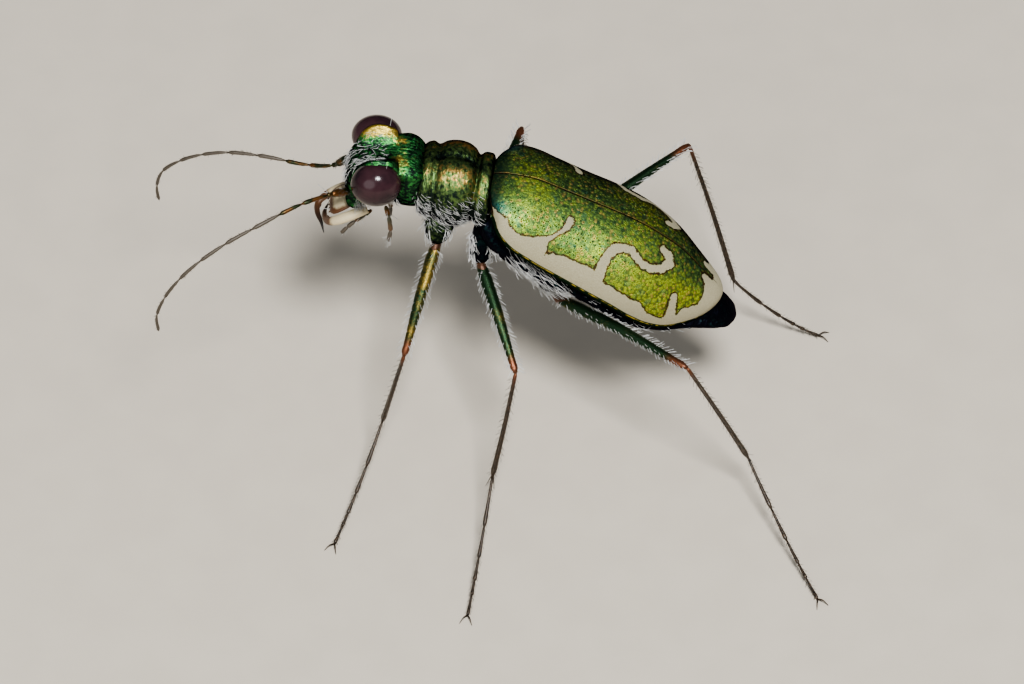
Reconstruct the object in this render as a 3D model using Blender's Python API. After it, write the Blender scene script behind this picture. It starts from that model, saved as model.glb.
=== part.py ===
# Tiger beetle, standing still, at life size.
# Metres, +Z up. The head points towards -X and the beetle's left side towards -Y.
# The origin is on the ground, under the middle of the model's box.

import math

import bmesh
import bpy
from mathutils import Euler, Vector

MM = 0.001

# Clearances and fineness
GAP = 0.3 * MM
BODY_SIDES = 24
TUBE_RINGS = 2
LARGEST_SHELL = 0.45 * MM

# Stance: the hind body hangs from the front end of the wing cases, head up
HIND_BODY_BASE = Vector((0.0, 0.0, 9.9)) * MM
HIND_BODY_PITCH = math.radians(27)
HIND_BODY_YAW = math.radians(-1)
HEAD_PIVOT = Vector((-2.5, 0.0, 9.5)) * MM
HEAD_YAW = math.radians(6.5)

# Wing cases, along the hind body from its front end: place, half width, height of crest, height of rim
ELYTRON_STATIONS = [
    (0.26, 1.30, 0.04, -0.40),
    (0.46, 1.69, 0.20, -0.56),
    (0.95, 1.90, 0.38, -0.74),
    (1.80, 1.97, 0.46, -0.90),
    (2.80, 2.02, 0.52, -1.00),
    (3.80, 2.08, 0.58, -1.06),
    (4.60, 2.08, 0.58, -1.14),
    (5.40, 2.01, 0.46, -1.33),
    (6.10, 1.81, 0.28, -1.50),
    (6.70, 1.52, -0.02, -1.53),
    (7.15, 1.23, -0.26, -1.38),
    (7.50, 0.94, -0.42, -1.24),
    (7.75, 0.66, -0.54, -1.10),
    (7.92, 0.38, -0.66, -0.98),
]
ELYTRON_ARC_STEPS = 9

# Middle and hind thorax, and abdomen: place, half width, crest, widest level, keel
THORAX_STATIONS = [
    (0.52, 0.80, -0.62, -1.20, -1.68),
    (0.66, 1.15, -0.46, -1.36, -1.92),
    (1.05, 1.42, -0.34, -1.58, -2.26),
    (1.80, 1.66, -0.30, -1.72, -2.36),
    (2.60, 1.74, -0.26, -1.76, -2.30),
    (3.30, 1.74, -0.24, -1.74, -2.16),
]
ABDOMEN_STATIONS = [
    (3.62, 1.48, -0.26, -1.64, -2.02),
    (4.30, 1.52, -0.30, -1.70, -2.10),
    (4.95, 1.57, -0.32, -1.78, -2.14),
    (5.60, 1.54, -0.44, -1.86, -2.18),
    (6.20, 1.38, -0.72, -1.92, -2.16),
    (6.80, 1.14, -1.06, -1.90, -2.10),
    (7.30, 0.94, -1.46, -1.76, -2.02),
    (7.85, 0.76, -1.38, -1.66, -1.94),
    (8.30, 0.54, -1.38, -1.62, -1.86),
    (8.60, 0.26, -1.50, -1.64, -1.78),
]
WAIST_UNDER_ELYTRA = 0.72
ABDOMEN_RINGS = (4.45, 5.25, 6.05, 6.80, 7.45)
RING_STEP = 0.05 * MM

# Prothorax and head: centre along the body, centre height, lean, half width, rise, drop
PROTHORAX_STATIONS = [
    (-2.22, 9.36, 4, 0.92, 0.74, 0.98),
    (-2.12, 9.36, 4, 1.08, 0.88, 1.10),
    (-1.98, 9.34, 5, 1.10, 0.90, 1.16),
    (-1.88, 9.33, 6, 1.04, 0.86, 1.18),
    (-1.70, 9.30, 7, 1.16, 1.00, 1.22),
    (-1.40, 9.26, 9, 1.23, 1.06, 1.26),
    (-1.05, 9.20, 11, 1.20, 1.06, 1.22),
    (-0.74, 9.13, 12, 1.08, 0.98, 1.12),
    (-0.56, 9.08, 13, 0.94, 0.84, 1.02),
    (-0.42, 9.04, 14, 1.02, 0.90, 0.98),
    (-0.28, 9.00, 15, 1.04, 0.88, 0.94),
    (-0.20, 8.98, 15, 0.96, 0.78, 0.86),
]
HEAD_STATIONS = [
    (-2.54, 9.52, 0, 0.66, 0.56, 0.78),
    (-2.64, 9.56, 0, 0.84, 0.72, 0.96),
    (-2.82, 9.64, 0, 0.84, 0.86, 1.08),
    (-2.98, 9.70, -2, 0.54, 0.90, 1.14),
    (-3.20, 9.76, -4, 0.46, 0.90, 1.20),
    (-3.60, 9.76, -10, 0.46, 0.88, 1.24),
    (-3.90, 9.66, -20, 0.48, 0.80, 1.20),
    (-4.10, 9.46, -34, 0.52, 0.66, 1.04),
    (-4.24, 9.16, -46, 0.58, 0.50, 0.76),
    (-4.34, 8.86, -56, 0.62, 0.36, 0.50),
    (-4.40, 8.62, -62, 0.58, 0.24, 0.30),
]
EYE_CENTRE = Vector((-3.71, 0.98, 10.07)) * MM
EYE_RADII = Vector((0.75, 0.60, 0.70)) * MM
EYE_INNER_FACE = 0.76 * MM

# Mouth: upper lip, the crossing mandibles, and the palps of the left side
LIP_STATIONS = [
    (-4.66, 8.42, -35, 0.34, 0.14, 0.12),
    (-4.72, 8.38, -35, 0.42, 0.18, 0.14),
    (-4.98, 8.20, -35, 0.42, 0.18, 0.14),
    (-5.10, 8.12, -35, 0.34, 0.12, 0.10),
]
MANDIBLE_ROUTES = {
    "left": [
        (-4.18, -0.64, 8.14, 0.20), (-4.50, -0.72, 8.02, 0.22), (-4.84, -0.70, 7.82, 0.20),
        (-5.10, -0.50, 7.60, 0.17), (-5.22, -0.22, 7.46, 0.13), (-5.26, -0.10, 7.42, 0.08),
    ],
    "right": [
        (-4.18, 0.64, 8.14, 0.20), (-4.50, 0.76, 8.00, 0.22), (-4.88, 0.84, 7.76, 0.20),
        (-5.22, 0.80, 7.52, 0.17), (-5.44, 0.60, 7.38, 0.14), (-5.50, 0.34, 7.34, 0.08),
    ],
}
MAXILLARY_PALP_ROUTE = [
    (-3.74, -0.54, 8.00, 0.19),
    (-3.94, -0.84, 7.74, 0.19),
    (-4.24, -0.98, 7.52, 0.17),
    (-4.54, -1.02, 7.34, 0.09),
]
LABIAL_PALP_ROUTE = [
    (-3.38, -0.36, 8.20, 0.20),
    (-3.28, -0.46, 7.78, 0.22),
    (-3.28, -0.52, 7.30, 0.20),
    (-3.32, -0.52, 6.96, 0.10),
]

# Antennae: route of the centre line, from the scape to the tip
ANTENNA_SEGMENTS = 11
ANTENNA_BASE_RADIUS = 0.26 * MM
ANTENNA_TIP_RADIUS = 0.12 * MM
ANTENNA_ROUTES = {
    "left": [
        (-4.64, -1.06, 9.48), (-4.98, -1.26, 9.58), (-5.60, -1.70, 9.66), (-7.03, -2.70, 9.43),
        (-7.84, -3.20, 9.16), (-9.13, -4.00, 8.30), (-9.61, -4.25, 7.56), (-9.81, -4.35, 6.83),
        (-9.75, -4.38, 6.29),
    ],
    "right": [
        (-4.92, 0.66, 9.02), (-5.16, 0.66, 8.84), (-6.03, 0.70, 8.64), (-7.07, 0.82, 8.68),
        (-8.47, 0.95, 8.56), (-9.75, 1.02, 7.97), (-10.36, 1.05, 7.33), (-10.53, 1.05, 6.45),
        (-10.47, 1.05, 6.05),
    ],
}

# Legs: hip, knee, ankle and toe of each
LEG_JOINTS = {
    "front_left": ((-1.81, -0.75, 7.36), (-2.48, -3.43, 5.08), (-3.15, -3.35, 1.96), (-4.18, -6.76, 0.10)),
    "middle_left": ((-0.49, -0.90, 6.77), (0.94, -3.80, 5.20), (0.41, -5.21, 2.04), (0.14, -9.08, 0.10)),
    "hind_left": ((1.85, -1.30, 5.96), (6.09, -3.67, 6.00), (7.92, -3.41, 1.90), (10.47, -7.17, 0.10)),
    "front_right": ((-1.81, 0.75, 7.36), (-2.00, 3.80, 5.90), (-2.40, 5.20, 3.20), (-2.60, 7.60, 0.10)),
    "middle_right": ((-0.49, 0.90, 6.77), (0.15, 4.20, 7.27), (0.10, 4.70, 3.80), (0.20, 6.60, 0.10)),
    "hind_right": ((1.85, 1.30, 5.96), (5.15, 4.83, 6.47), (6.73, 3.21, 2.30), (9.30, 3.30, 0.10)),
}
FEMUR_RADII = (0.26, 0.31, 0.30, 0.28, 0.26, 0.25)
TIBIA_RADII = (0.25, 0.26, 0.25, 0.25, 0.26, 0.27)
TARSUS_RADIUS = 0.25 * MM
TARSUS_SAG = 0.10
TARSOMERE_SHARES = (0.34, 0.22, 0.17, 0.11, 0.16)
HIP_CLEARANCE = 0.40 * MM
CLAW_LENGTH = 0.55 * MM
CLAW_SPREAD = math.radians(32)
CLAW_RADIUS = 0.11 * MM

# Colours: base colour, roughness, metallic
FINISHES = {
    "wing_case": ((0.10, 0.24, 0.05), 0.35, 0.6),
    "thorax_shell": ((0.28, 0.16, 0.06), 0.35, 0.7),
    "head_shell": ((0.06, 0.20, 0.05), 0.35, 0.6),
    "underside": ((0.02, 0.02, 0.02), 0.40, 0.3),
    "eye": ((0.06, 0.03, 0.03), 0.20, 0.0),
    "lip": ((0.58, 0.52, 0.38), 0.45, 0.0),
    "mandible": ((0.25, 0.12, 0.05), 0.30, 0.0),
    "antenna": ((0.12, 0.09, 0.06), 0.55, 0.1),
    "femur": ((0.06, 0.10, 0.03), 0.35, 0.6),
    "shin": ((0.10, 0.07, 0.03), 0.45, 0.3),
}

beetle = bpy.data.collections.new("tiger_beetle")
scraps = bpy.data.collections.new("pieces_to_join")
materials = {}


def clear_scene():
    for obj in list(bpy.context.scene.objects):
        bpy.data.objects.remove(obj, do_unlink=True)
    bpy.context.scene.collection.children.link(beetle)
    bpy.context.scene.collection.children.link(scraps)


def make_materials():
    for name, (colour, roughness, metallic) in FINISHES.items():
        finish = bpy.data.materials.new(name)
        finish.use_nodes = True
        shader = finish.node_tree.nodes["Principled BSDF"]
        shader.inputs["Base Color"].default_value = (*colour, 1.0)
        shader.inputs["Roughness"].default_value = roughness
        shader.inputs["Metallic"].default_value = metallic
        materials[name] = finish


def add_empty(name, location, rotation, parent):
    empty = bpy.data.objects.new(name, None)
    empty.location = location
    empty.rotation_euler = rotation
    empty.empty_display_size = MM
    empty.parent = parent
    beetle.objects.link(empty)
    return empty


def object_from(bm, name, collection):
    bmesh.ops.recalc_face_normals(bm, faces=bm.faces)
    mesh = bpy.data.meshes.new(name)
    bm.to_mesh(mesh)
    bm.free()
    obj = bpy.data.objects.new(name, mesh)
    collection.objects.link(obj)
    return obj


def finish_piece(obj, name, parent, finish):
    obj.name = name
    obj.data.name = name
    obj.parent = parent
    obj.data.materials.clear()
    obj.data.materials.append(materials[finish])
    obj.data.shade_smooth()
    obj.data.set_sharp_from_angle(angle=math.radians(40))
    return obj


def body_ring(place, level, lean, half_width, rise, drop, waist=1.0):
    """One closed section across the body, narrower above its widest level where waist is under 1."""
    points = []
    for step in range(BODY_SIDES):
        angle = 2 * math.pi * (step + 0.5) / BODY_SIDES
        side = math.copysign(abs(math.cos(angle)) ** 0.85, math.cos(angle))
        up = math.copysign(abs(math.sin(angle)) ** 0.9, math.sin(angle))
        narrowing = 1 - (1 - waist) * min(1.0, max(0.0, up) / 0.3)
        height = up * (rise if up > 0 else drop)
        points.append(Vector((
            place + height * math.sin(lean),
            half_width * side * narrowing,
            level + height * math.cos(lean),
        )))
    return points


def skin_rings(bm, rings):
    """Joins rings of equally many points and closes both ends with a fan."""
    loops = [[bm.verts.new(point) for point in ring] for ring in rings]
    count = len(loops[0])
    for near, far in zip(loops, loops[1:]):
        for step in range(count):
            after = (step + 1) % count
            bm.faces.new((near[step], near[after], far[after], far[step]))
    for loop in (loops[0], loops[-1]):
        centre = bm.verts.new(sum((vert.co for vert in loop), Vector()) / count)
        for step in range(count):
            bm.faces.new((loop[step], loop[(step + 1) % count], centre))


def leaning_body(name, stations, collection):
    bm = bmesh.new()
    rings = []
    for place, level, lean, half_width, rise, drop in stations:
        sizes = [value * MM for value in (half_width, rise, drop)]
        rings.append(body_ring(place * MM, level * MM, math.radians(lean), *sizes))
    skin_rings(bm, rings)
    return object_from(bm, name, collection)


def interpolate(stations, place):
    for before, after in zip(stations, stations[1:]):
        if place <= after[0]:
            share = (place - before[0]) / (after[0] - before[0])
            return [a + (b - a) * share for a, b in zip(before, after)]
    return list(stations[-1])


def hanging_body(name, stations, collection, ring_places=()):
    """The body under the wing cases. Each ring place gets a small step, as between belly segments."""
    places = {station[0]: 0.0 for station in stations}
    for ring_place in ring_places:
        places[ring_place - 0.06] = 0.0
        places[ring_place + 0.06] = -1.0
    bm = bmesh.new()
    rings = []
    for place in sorted(places):
        _, half_width, crest, widest, keel = interpolate(stations, place)
        step = places[place] * RING_STEP
        rings.append(body_ring(
            place * MM, widest * MM, 0.0, half_width * MM + step,
            (crest - widest) * MM, (widest - keel) * MM + step, WAIST_UNDER_ELYTRA,
        ))
    skin_rings(bm, rings)
    return object_from(bm, name, collection)


def ball(name, centre, radii, collection, around=16, high=10):
    bm = bmesh.new()
    bmesh.ops.create_uvsphere(bm, u_segments=around, v_segments=high, radius=1.0)
    bmesh.ops.scale(bm, vec=radii, verts=bm.verts)
    bmesh.ops.translate(bm, vec=centre, verts=bm.verts)
    return object_from(bm, name, collection)


def smooth_route(points, per_span):
    """Points on a smooth curve through the given ones."""
    ends = [points[0] * 2 - points[1], *points, points[-1] * 2 - points[-2]]
    route = []
    for index in range(1, len(ends) - 2):
        a, b, c, d = ends[index - 1:index + 3]
        for step in range(per_span):
            t = step / per_span
            route.append(0.5 * (
                2 * b + (c - a) * t + (2 * a - 5 * b + 4 * c - d) * t ** 2
                + (3 * b - a - 3 * c + d) * t ** 3
            ))
    route.append(points[-1])
    return route


def tube(name, points, radii, collection):
    """A tapered round limb along the points, as a closed mesh."""
    widest = max(radii)
    curve = bpy.data.curves.new(name, "CURVE")
    curve.dimensions = "3D"
    curve.bevel_depth = widest
    curve.bevel_resolution = TUBE_RINGS
    curve.use_fill_caps = True
    spline = curve.splines.new("POLY")
    spline.points.add(len(points) - 1)
    for target, point, radius in zip(spline.points, points, radii):
        target.co = (*point, 1.0)
        target.radius = radius / widest
    line = bpy.data.objects.new(name, curve)
    collection.objects.link(line)
    bpy.context.view_layer.update()
    graph = bpy.context.evaluated_depsgraph_get()
    mesh = bpy.data.meshes.new_from_object(line.evaluated_get(graph))
    bm = bmesh.new()
    bm.from_mesh(mesh)
    bmesh.ops.remove_doubles(bm, verts=bm.verts, dist=MM / 1000)
    bpy.data.objects.remove(line, do_unlink=True)
    bpy.data.meshes.remove(mesh)
    return object_from(bm, name, collection)


def islands(bm):
    left = set(bm.faces)
    while left:
        island = {left.pop()}
        front = list(island)
        while front:
            for edge in front.pop().edges:
                for face in edge.link_faces:
                    if face in left:
                        left.remove(face)
                        island.add(face)
                        front.append(face)
        yield island


def keep_largest(bm):
    ranked = sorted(islands(bm), key=lambda faces: sum(face.calc_area() for face in faces))
    for scrap in ranked[:-1]:
        bmesh.ops.delete(bm, geom=list(scrap), context="FACES")


def join(name, pieces):
    """One closed body from overlapping pieces in the scraps collection."""
    first = pieces[0]
    scraps.objects.unlink(first)
    beetle.objects.link(first)
    union = first.modifiers.new("join", "BOOLEAN")
    union.operation = "UNION"
    union.operand_type = "COLLECTION"
    union.collection = scraps
    union.solver = "EXACT"
    bpy.context.view_layer.update()
    graph = bpy.context.evaluated_depsgraph_get()
    mesh = bpy.data.meshes.new_from_object(first.evaluated_get(graph))
    bm = bmesh.new()
    bm.from_mesh(mesh)
    bpy.data.meshes.remove(mesh)
    for piece in pieces:
        bpy.data.objects.remove(piece, do_unlink=True)
    keep_largest(bm)
    return object_from(bm, name, beetle)


def on_the_ground(obj):
    """Cuts a foot off flat at ground level."""
    bm = bmesh.new()
    bm.from_mesh(obj.data)
    bmesh.ops.bisect_plane(
        bm, geom=[*bm.verts, *bm.edges, *bm.faces], dist=MM / 10000,
        plane_co=(0, 0, 0), plane_no=(0, 0, -1), clear_outer=True,
    )
    rims = [edge for edge in bm.edges if edge.is_boundary]
    bmesh.ops.holes_fill(bm, edges=rims)
    keep_largest(bm)
    bmesh.ops.recalc_face_normals(bm, faces=bm.faces)
    bm.to_mesh(obj.data)
    bm.free()
    return obj


def mirrored(points):
    return [(x, -y, z, *rest) for x, y, z, *rest in points]


def tube_from_rows(name, rows, collection):
    points = [Vector(row[:3]) * MM for row in rows]
    radii = [row[3] * MM for row in rows]
    return tube(name, points, radii, collection)


def make_elytron(side, sign, parent):
    """Half of the domed wing cover, a shell open below, with its straight edge along the middle."""
    bm = bmesh.new()
    rings = []
    for place, half_width, crest, rim in ELYTRON_STATIONS:
        shell = min(LARGEST_SHELL, 0.36 * half_width * MM)
        width = half_width * MM - GAP / 2
        height = (crest - rim) * MM
        inner_height = max(height - shell, 0.3 * height)
        outer = []
        inner = []
        for step in range(ELYTRON_ARC_STEPS):
            angle = 0.5 * math.pi * step / (ELYTRON_ARC_STEPS - 1)
            across = math.sin(angle)
            up = max(0.0, math.cos(angle))
            outer.append(Vector((place * MM, sign * (GAP / 2 + width * across), rim * MM + height * up)))
            inner.append(Vector((
                place * MM, sign * (GAP / 2 + (width - shell) * across), rim * MM + inner_height * up,
            )))
        rings.append(outer + inner[::-1])
    loops = [[bm.verts.new(point) for point in ring] for ring in rings]
    count = len(loops[0])
    for near, far in zip(loops, loops[1:]):
        for step in range(count):
            after = (step + 1) % count
            bm.faces.new((near[step], near[after], far[after], far[step]))
    for loop in (loops[0], loops[-1]):
        for step in range(ELYTRON_ARC_STEPS - 1):
            other = count - 1 - step
            bm.faces.new((loop[step], loop[step + 1], loop[other - 1], loop[other]))
    obj = object_from(bm, "elytron_" + side, beetle)
    finish_piece(obj, "elytron_" + side, parent, "wing_case")


def make_eye(side, sign, parent):
    centre = Vector((EYE_CENTRE.x, sign * EYE_CENTRE.y, EYE_CENTRE.z)) - HEAD_PIVOT
    obj = ball("eye_" + side, centre, EYE_RADII, beetle, 20, 14)
    bm = bmesh.new()
    bm.from_mesh(obj.data)
    bmesh.ops.bisect_plane(
        bm, geom=[*bm.verts, *bm.edges, *bm.faces], dist=MM / 10000,
        plane_co=(0, sign * EYE_INNER_FACE, 0), plane_no=(0, -sign, 0), clear_outer=True,
    )
    bmesh.ops.holes_fill(bm, edges=[edge for edge in bm.edges if edge.is_boundary])
    bmesh.ops.recalc_face_normals(bm, faces=bm.faces)
    bm.to_mesh(obj.data)
    bm.free()
    finish_piece(obj, "eye_" + side, parent, "eye")


def about_pivot(stations):
    return [
        (place - HEAD_PIVOT.x / MM, level - HEAD_PIVOT.z / MM, *rest)
        for place, level, *rest in stations
    ]


def rows_about_pivot(rows):
    return [
        (x - HEAD_PIVOT.x / MM, y - HEAD_PIVOT.y / MM, z - HEAD_PIVOT.z / MM, radius)
        for x, y, z, radius in rows
    ]


def make_head(stance):
    turn = add_empty("head_turn", HEAD_PIVOT, Euler((0, 0, HEAD_YAW)), stance)
    head = leaning_body("head", about_pivot(HEAD_STATIONS), beetle)
    finish_piece(head, "head", turn, "head_shell")
    lip = leaning_body("labrum", about_pivot(LIP_STATIONS), beetle)
    finish_piece(lip, "labrum", turn, "lip")
    palps = (
        ("maxillary_palp_", MAXILLARY_PALP_ROUTE),
        ("labial_palp_", LABIAL_PALP_ROUTE),
    )
    for side, sign in (("left", -1), ("right", 1)):
        make_eye(side, sign, turn)
        mandible = tube_from_rows("mandible_" + side, rows_about_pivot(MANDIBLE_ROUTES[side]), beetle)
        finish_piece(mandible, "mandible_" + side, turn, "mandible")
        for name, route in palps:
            rows = route if sign < 0 else mirrored(route)
            palp = tube_from_rows(name + side, rows_about_pivot(rows), beetle)
            finish_piece(palp, name + side, turn, "antenna")


def make_antenna(side, stance):
    """A long feeler whose joints show as slight waists, thinning to its tip."""
    route = smooth_route([Vector(point) * MM for point in ANTENNA_ROUTES[side]], 4)
    radii = []
    for index in range(len(route)):
        share = index / (len(route) - 1)
        radius = ANTENNA_BASE_RADIUS + (ANTENNA_TIP_RADIUS - ANTENNA_BASE_RADIUS) * share
        joint = abs(math.sin(math.pi * share * ANTENNA_SEGMENTS))
        radii.append(radius * (0.9 + 0.1 * joint))
    radii[0] *= 0.7
    radii[-1] *= 0.6
    feeler = tube("antenna_" + side, route, radii, beetle)
    finish_piece(feeler, "antenna_" + side, stance, "antenna")


def hip_in_body(hip, inward, sink):
    """A ball's centre that lies in the body, with its skin just short of the hip."""
    centre = hip.copy()
    centre.y *= inward
    centre.z += sink
    return centre


def make_prothorax(stance):
    pieces = [leaning_body("prothorax", PROTHORAX_STATIONS, scraps)]
    for leg in ("front_left", "front_right"):
        hip = Vector(LEG_JOINTS[leg][0]) * MM
        centre = hip_in_body(hip, 0.72, 0.55 * MM)
        pieces.append(ball("coxa", centre, Vector((0.46, 0.44, 0.56)) * MM, scraps, 12, 8))
    finish_piece(join("prothorax", pieces), "prothorax", stance, "thorax_shell")


def make_thorax(stance, hind_body):
    to_body = hind_body.matrix_basis.inverted()
    pieces = [hanging_body("thorax", THORAX_STATIONS, scraps)]
    coxae = (
        ("middle_left", 0.0, 0.74, 0.58, (0.48, 0.46, 0.60)),
        ("middle_right", 0.0, 0.74, 0.58, (0.48, 0.46, 0.60)),
        ("hind_left", -0.52, 0.66, 0.50, (0.46, 0.74, 0.50)),
        ("hind_right", -0.52, 0.66, 0.50, (0.46, 0.74, 0.50)),
    )
    for leg, forward, inward, sink, radii in coxae:
        hip = to_body @ (Vector(LEG_JOINTS[leg][0]) * MM)
        centre = hip_in_body(hip, inward, sink * MM)
        centre.x += forward * MM
        pieces.append(ball("coxa", centre, Vector(radii) * MM, scraps, 12, 8))
    finish_piece(join("thorax", pieces), "thorax", hind_body, "underside")


def make_abdomen(hind_body):
    abdomen = hanging_body("abdomen", ABDOMEN_STATIONS, beetle, ABDOMEN_RINGS)
    finish_piece(abdomen, "abdomen", hind_body, "underside")


def setback(before, joint, after, radius):
    """How far two limbs of this radius stop short of their joint, so that their ends clear."""
    bend = (joint - before).angle(after - joint)
    return GAP / 2 + radius * math.tan(bend / 2) * 0.9


def straight_limb(name, start, end, radii, finish, stance):
    count = len(radii) - 1
    points = [start.lerp(end, step / count) for step in range(count + 1)]
    sizes = [radius * MM for radius in radii]
    along = (end - start).normalized()
    points.insert(0, points[0].copy())
    points.append(points[-1].copy())
    points[1] += along * 0.12 * MM
    points[-2] -= along * 0.12 * MM
    sizes = [sizes[0] * 0.72, *sizes, sizes[-1] * 0.78]
    limb = tube(name, points, sizes, beetle)
    finish_piece(limb, name, stance, finish)


def make_tarsus(name, ankle, toe, stance):
    """Five foot joints, each with a narrow root, and two claws, flat where they meet the ground."""
    along = (toe - ankle).normalized()
    level = Vector((along.x, along.y, 0)).normalized()
    across = level.cross(Vector((0, 0, 1)))
    points = []
    radii = []
    reached = 0.0
    for number, share in enumerate(TARSOMERE_SHARES):
        for part, swell in ((0.06, 0.82), (0.5, 0.94), (0.94, 1.0)):
            total = reached + share * part
            point = ankle.lerp(toe, total)
            point.z -= TARSUS_SAG * 4 * total * (1 - total) * ankle.z
            points.append(point)
            radii.append(TARSUS_RADIUS * swell * (1 - 0.04 * number))
        reached += share
    pieces = [tube("tarsus", points, radii, scraps)]
    for sign in (-1, 1):
        spread = (level * math.cos(CLAW_SPREAD) + across * sign * math.sin(CLAW_SPREAD)) * CLAW_LENGTH
        root = points[-1] - along * 0.12 * MM + across * sign * 0.05 * MM
        crown = points[-1] + spread * 0.5
        tip = points[-1] + spread
        crown.z = 0.16 * MM
        tip.z = 0.03 * MM
        claw = [root, crown, tip]
        pieces.append(tube("claw", claw, [CLAW_RADIUS, CLAW_RADIUS, CLAW_RADIUS * 0.5], scraps))
    foot = on_the_ground(join(name, pieces))
    finish_piece(foot, name, stance, "shin")


def make_leg(leg, stance):
    hip, knee, ankle, toe = (Vector(point) * MM for point in LEG_JOINTS[leg])
    thigh = (knee - hip).normalized()
    shin = (ankle - knee).normalized()
    foot = (toe - ankle).normalized()
    at_knee = setback(hip, knee, ankle, FEMUR_RADII[-1] * MM)
    at_ankle = setback(knee, ankle, toe, TIBIA_RADII[-1] * MM)
    straight_limb(
        "femur_" + leg, hip + thigh * HIP_CLEARANCE, knee - thigh * at_knee, FEMUR_RADII, "femur", stance,
    )
    straight_limb(
        "tibia_" + leg, knee + shin * at_knee, ankle - shin * at_ankle, TIBIA_RADII, "shin", stance,
    )
    make_tarsus("tarsus_" + leg, ankle + foot * at_ankle, toe, stance)


def stand_over_origin(stance):
    """Moves the stance so that the origin lies under the middle of the model's box."""
    bpy.context.view_layer.update()
    corners = [
        obj.matrix_world @ vert.co
        for obj in beetle.objects if obj.type == "MESH"
        for vert in obj.data.vertices
    ]
    low = [min(corner[axis] for corner in corners) for axis in range(3)]
    high = [max(corner[axis] for corner in corners) for axis in range(3)]
    stance.location = (-(low[0] + high[0]) / 2, -(low[1] + high[1]) / 2, -low[2])


def main():
    clear_scene()
    make_materials()
    stance = add_empty("stance", (0, 0, 0), (0, 0, 0), None)
    hind_body = add_empty("hind_body", HIND_BODY_BASE, (0, HIND_BODY_PITCH, HIND_BODY_YAW), stance)
    bpy.context.view_layer.update()
    for side, sign in (("left", -1), ("right", 1)):
        make_elytron(side, sign, hind_body)
        make_antenna(side, stance)
    make_thorax(stance, hind_body)
    make_abdomen(hind_body)
    make_prothorax(stance)
    make_head(stance)
    for leg in LEG_JOINTS:
        make_leg(leg, stance)
    bpy.data.collections.remove(scraps)
    stand_over_origin(stance)


main()
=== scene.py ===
import math
import bpy
import numpy as np
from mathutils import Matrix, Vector


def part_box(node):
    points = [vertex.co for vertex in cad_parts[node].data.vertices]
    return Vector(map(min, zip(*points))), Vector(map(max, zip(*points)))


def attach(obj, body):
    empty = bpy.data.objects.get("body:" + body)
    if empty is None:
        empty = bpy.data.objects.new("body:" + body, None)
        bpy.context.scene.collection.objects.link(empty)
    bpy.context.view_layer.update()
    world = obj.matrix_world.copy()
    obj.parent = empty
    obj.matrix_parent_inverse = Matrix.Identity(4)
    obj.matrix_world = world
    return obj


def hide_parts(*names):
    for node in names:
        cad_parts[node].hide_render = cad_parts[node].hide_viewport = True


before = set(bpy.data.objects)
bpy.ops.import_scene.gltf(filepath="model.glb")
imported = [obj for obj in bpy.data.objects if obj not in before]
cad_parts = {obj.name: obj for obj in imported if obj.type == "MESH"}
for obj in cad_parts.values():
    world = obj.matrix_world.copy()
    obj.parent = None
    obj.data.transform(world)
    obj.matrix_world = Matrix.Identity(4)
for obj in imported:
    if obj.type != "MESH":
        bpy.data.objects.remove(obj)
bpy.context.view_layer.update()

# Tiger beetle, standing. Shapes are worked out in millimetres and made in metres.
# The head points to -X and the beetle's left side to -Y.
mm = 0.001

stance = {
    "pitch": math.radians(27),        # hind body, head end up
    "swing": math.radians(-1.6),       # tail end a little to the beetle's left
    "base": (0.0, 0.0, 9.9),          # front end of the wing cases
    "neck": (-2.5, 0.0, 9.5),
    "yaw": math.radians(6.5),         # head turned to the beetle's left
    "caseCorner": (0.26, -0.40),      # place and rim level of the solids' front corner
}
caseBox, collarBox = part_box("elytron_left"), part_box("prothorax")
cornerX = (stance["caseCorner"][0] * math.cos(stance["pitch"])
           + stance["caseCorner"][1] * math.sin(stance["pitch"]))
shift = np.array([caseBox[0].x / mm - cornerX, (collarBox[0].y + collarBox[1].y) / 2 / mm, 0.0])


# Node trees

class Flow:
    # one socket's value, so that node maths reads as plain expressions
    def __init__(self, tree, socket):
        self.tree = tree
        self.socket = socket

    def maths(self, operation, other):
        return self.tree.add("ShaderNodeMath", {"operation": operation}, {0: self, 1: other})

    def __add__(self, other):
        return self.maths("ADD", other)

    def __sub__(self, other):
        return self.maths("SUBTRACT", other)

    def __rsub__(self, other):
        return self.tree.add("ShaderNodeMath", {"operation": "SUBTRACT"}, {0: other, 1: self})

    def __mul__(self, other):
        return self.maths("MULTIPLY", other)

    def __truediv__(self, other):
        return self.maths("DIVIDE", other)

    __radd__ = __add__
    __rmul__ = __mul__

    def between(self, low, high):
        # 0 below low, 1 above high, eased
        settings = {"interpolation_type": "SMOOTHSTEP"}
        return self.tree.add("ShaderNodeMapRange", settings, {0: self, 1: low, 2: high})

    def both(self, other):
        return self.maths("MINIMUM", other)


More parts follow.
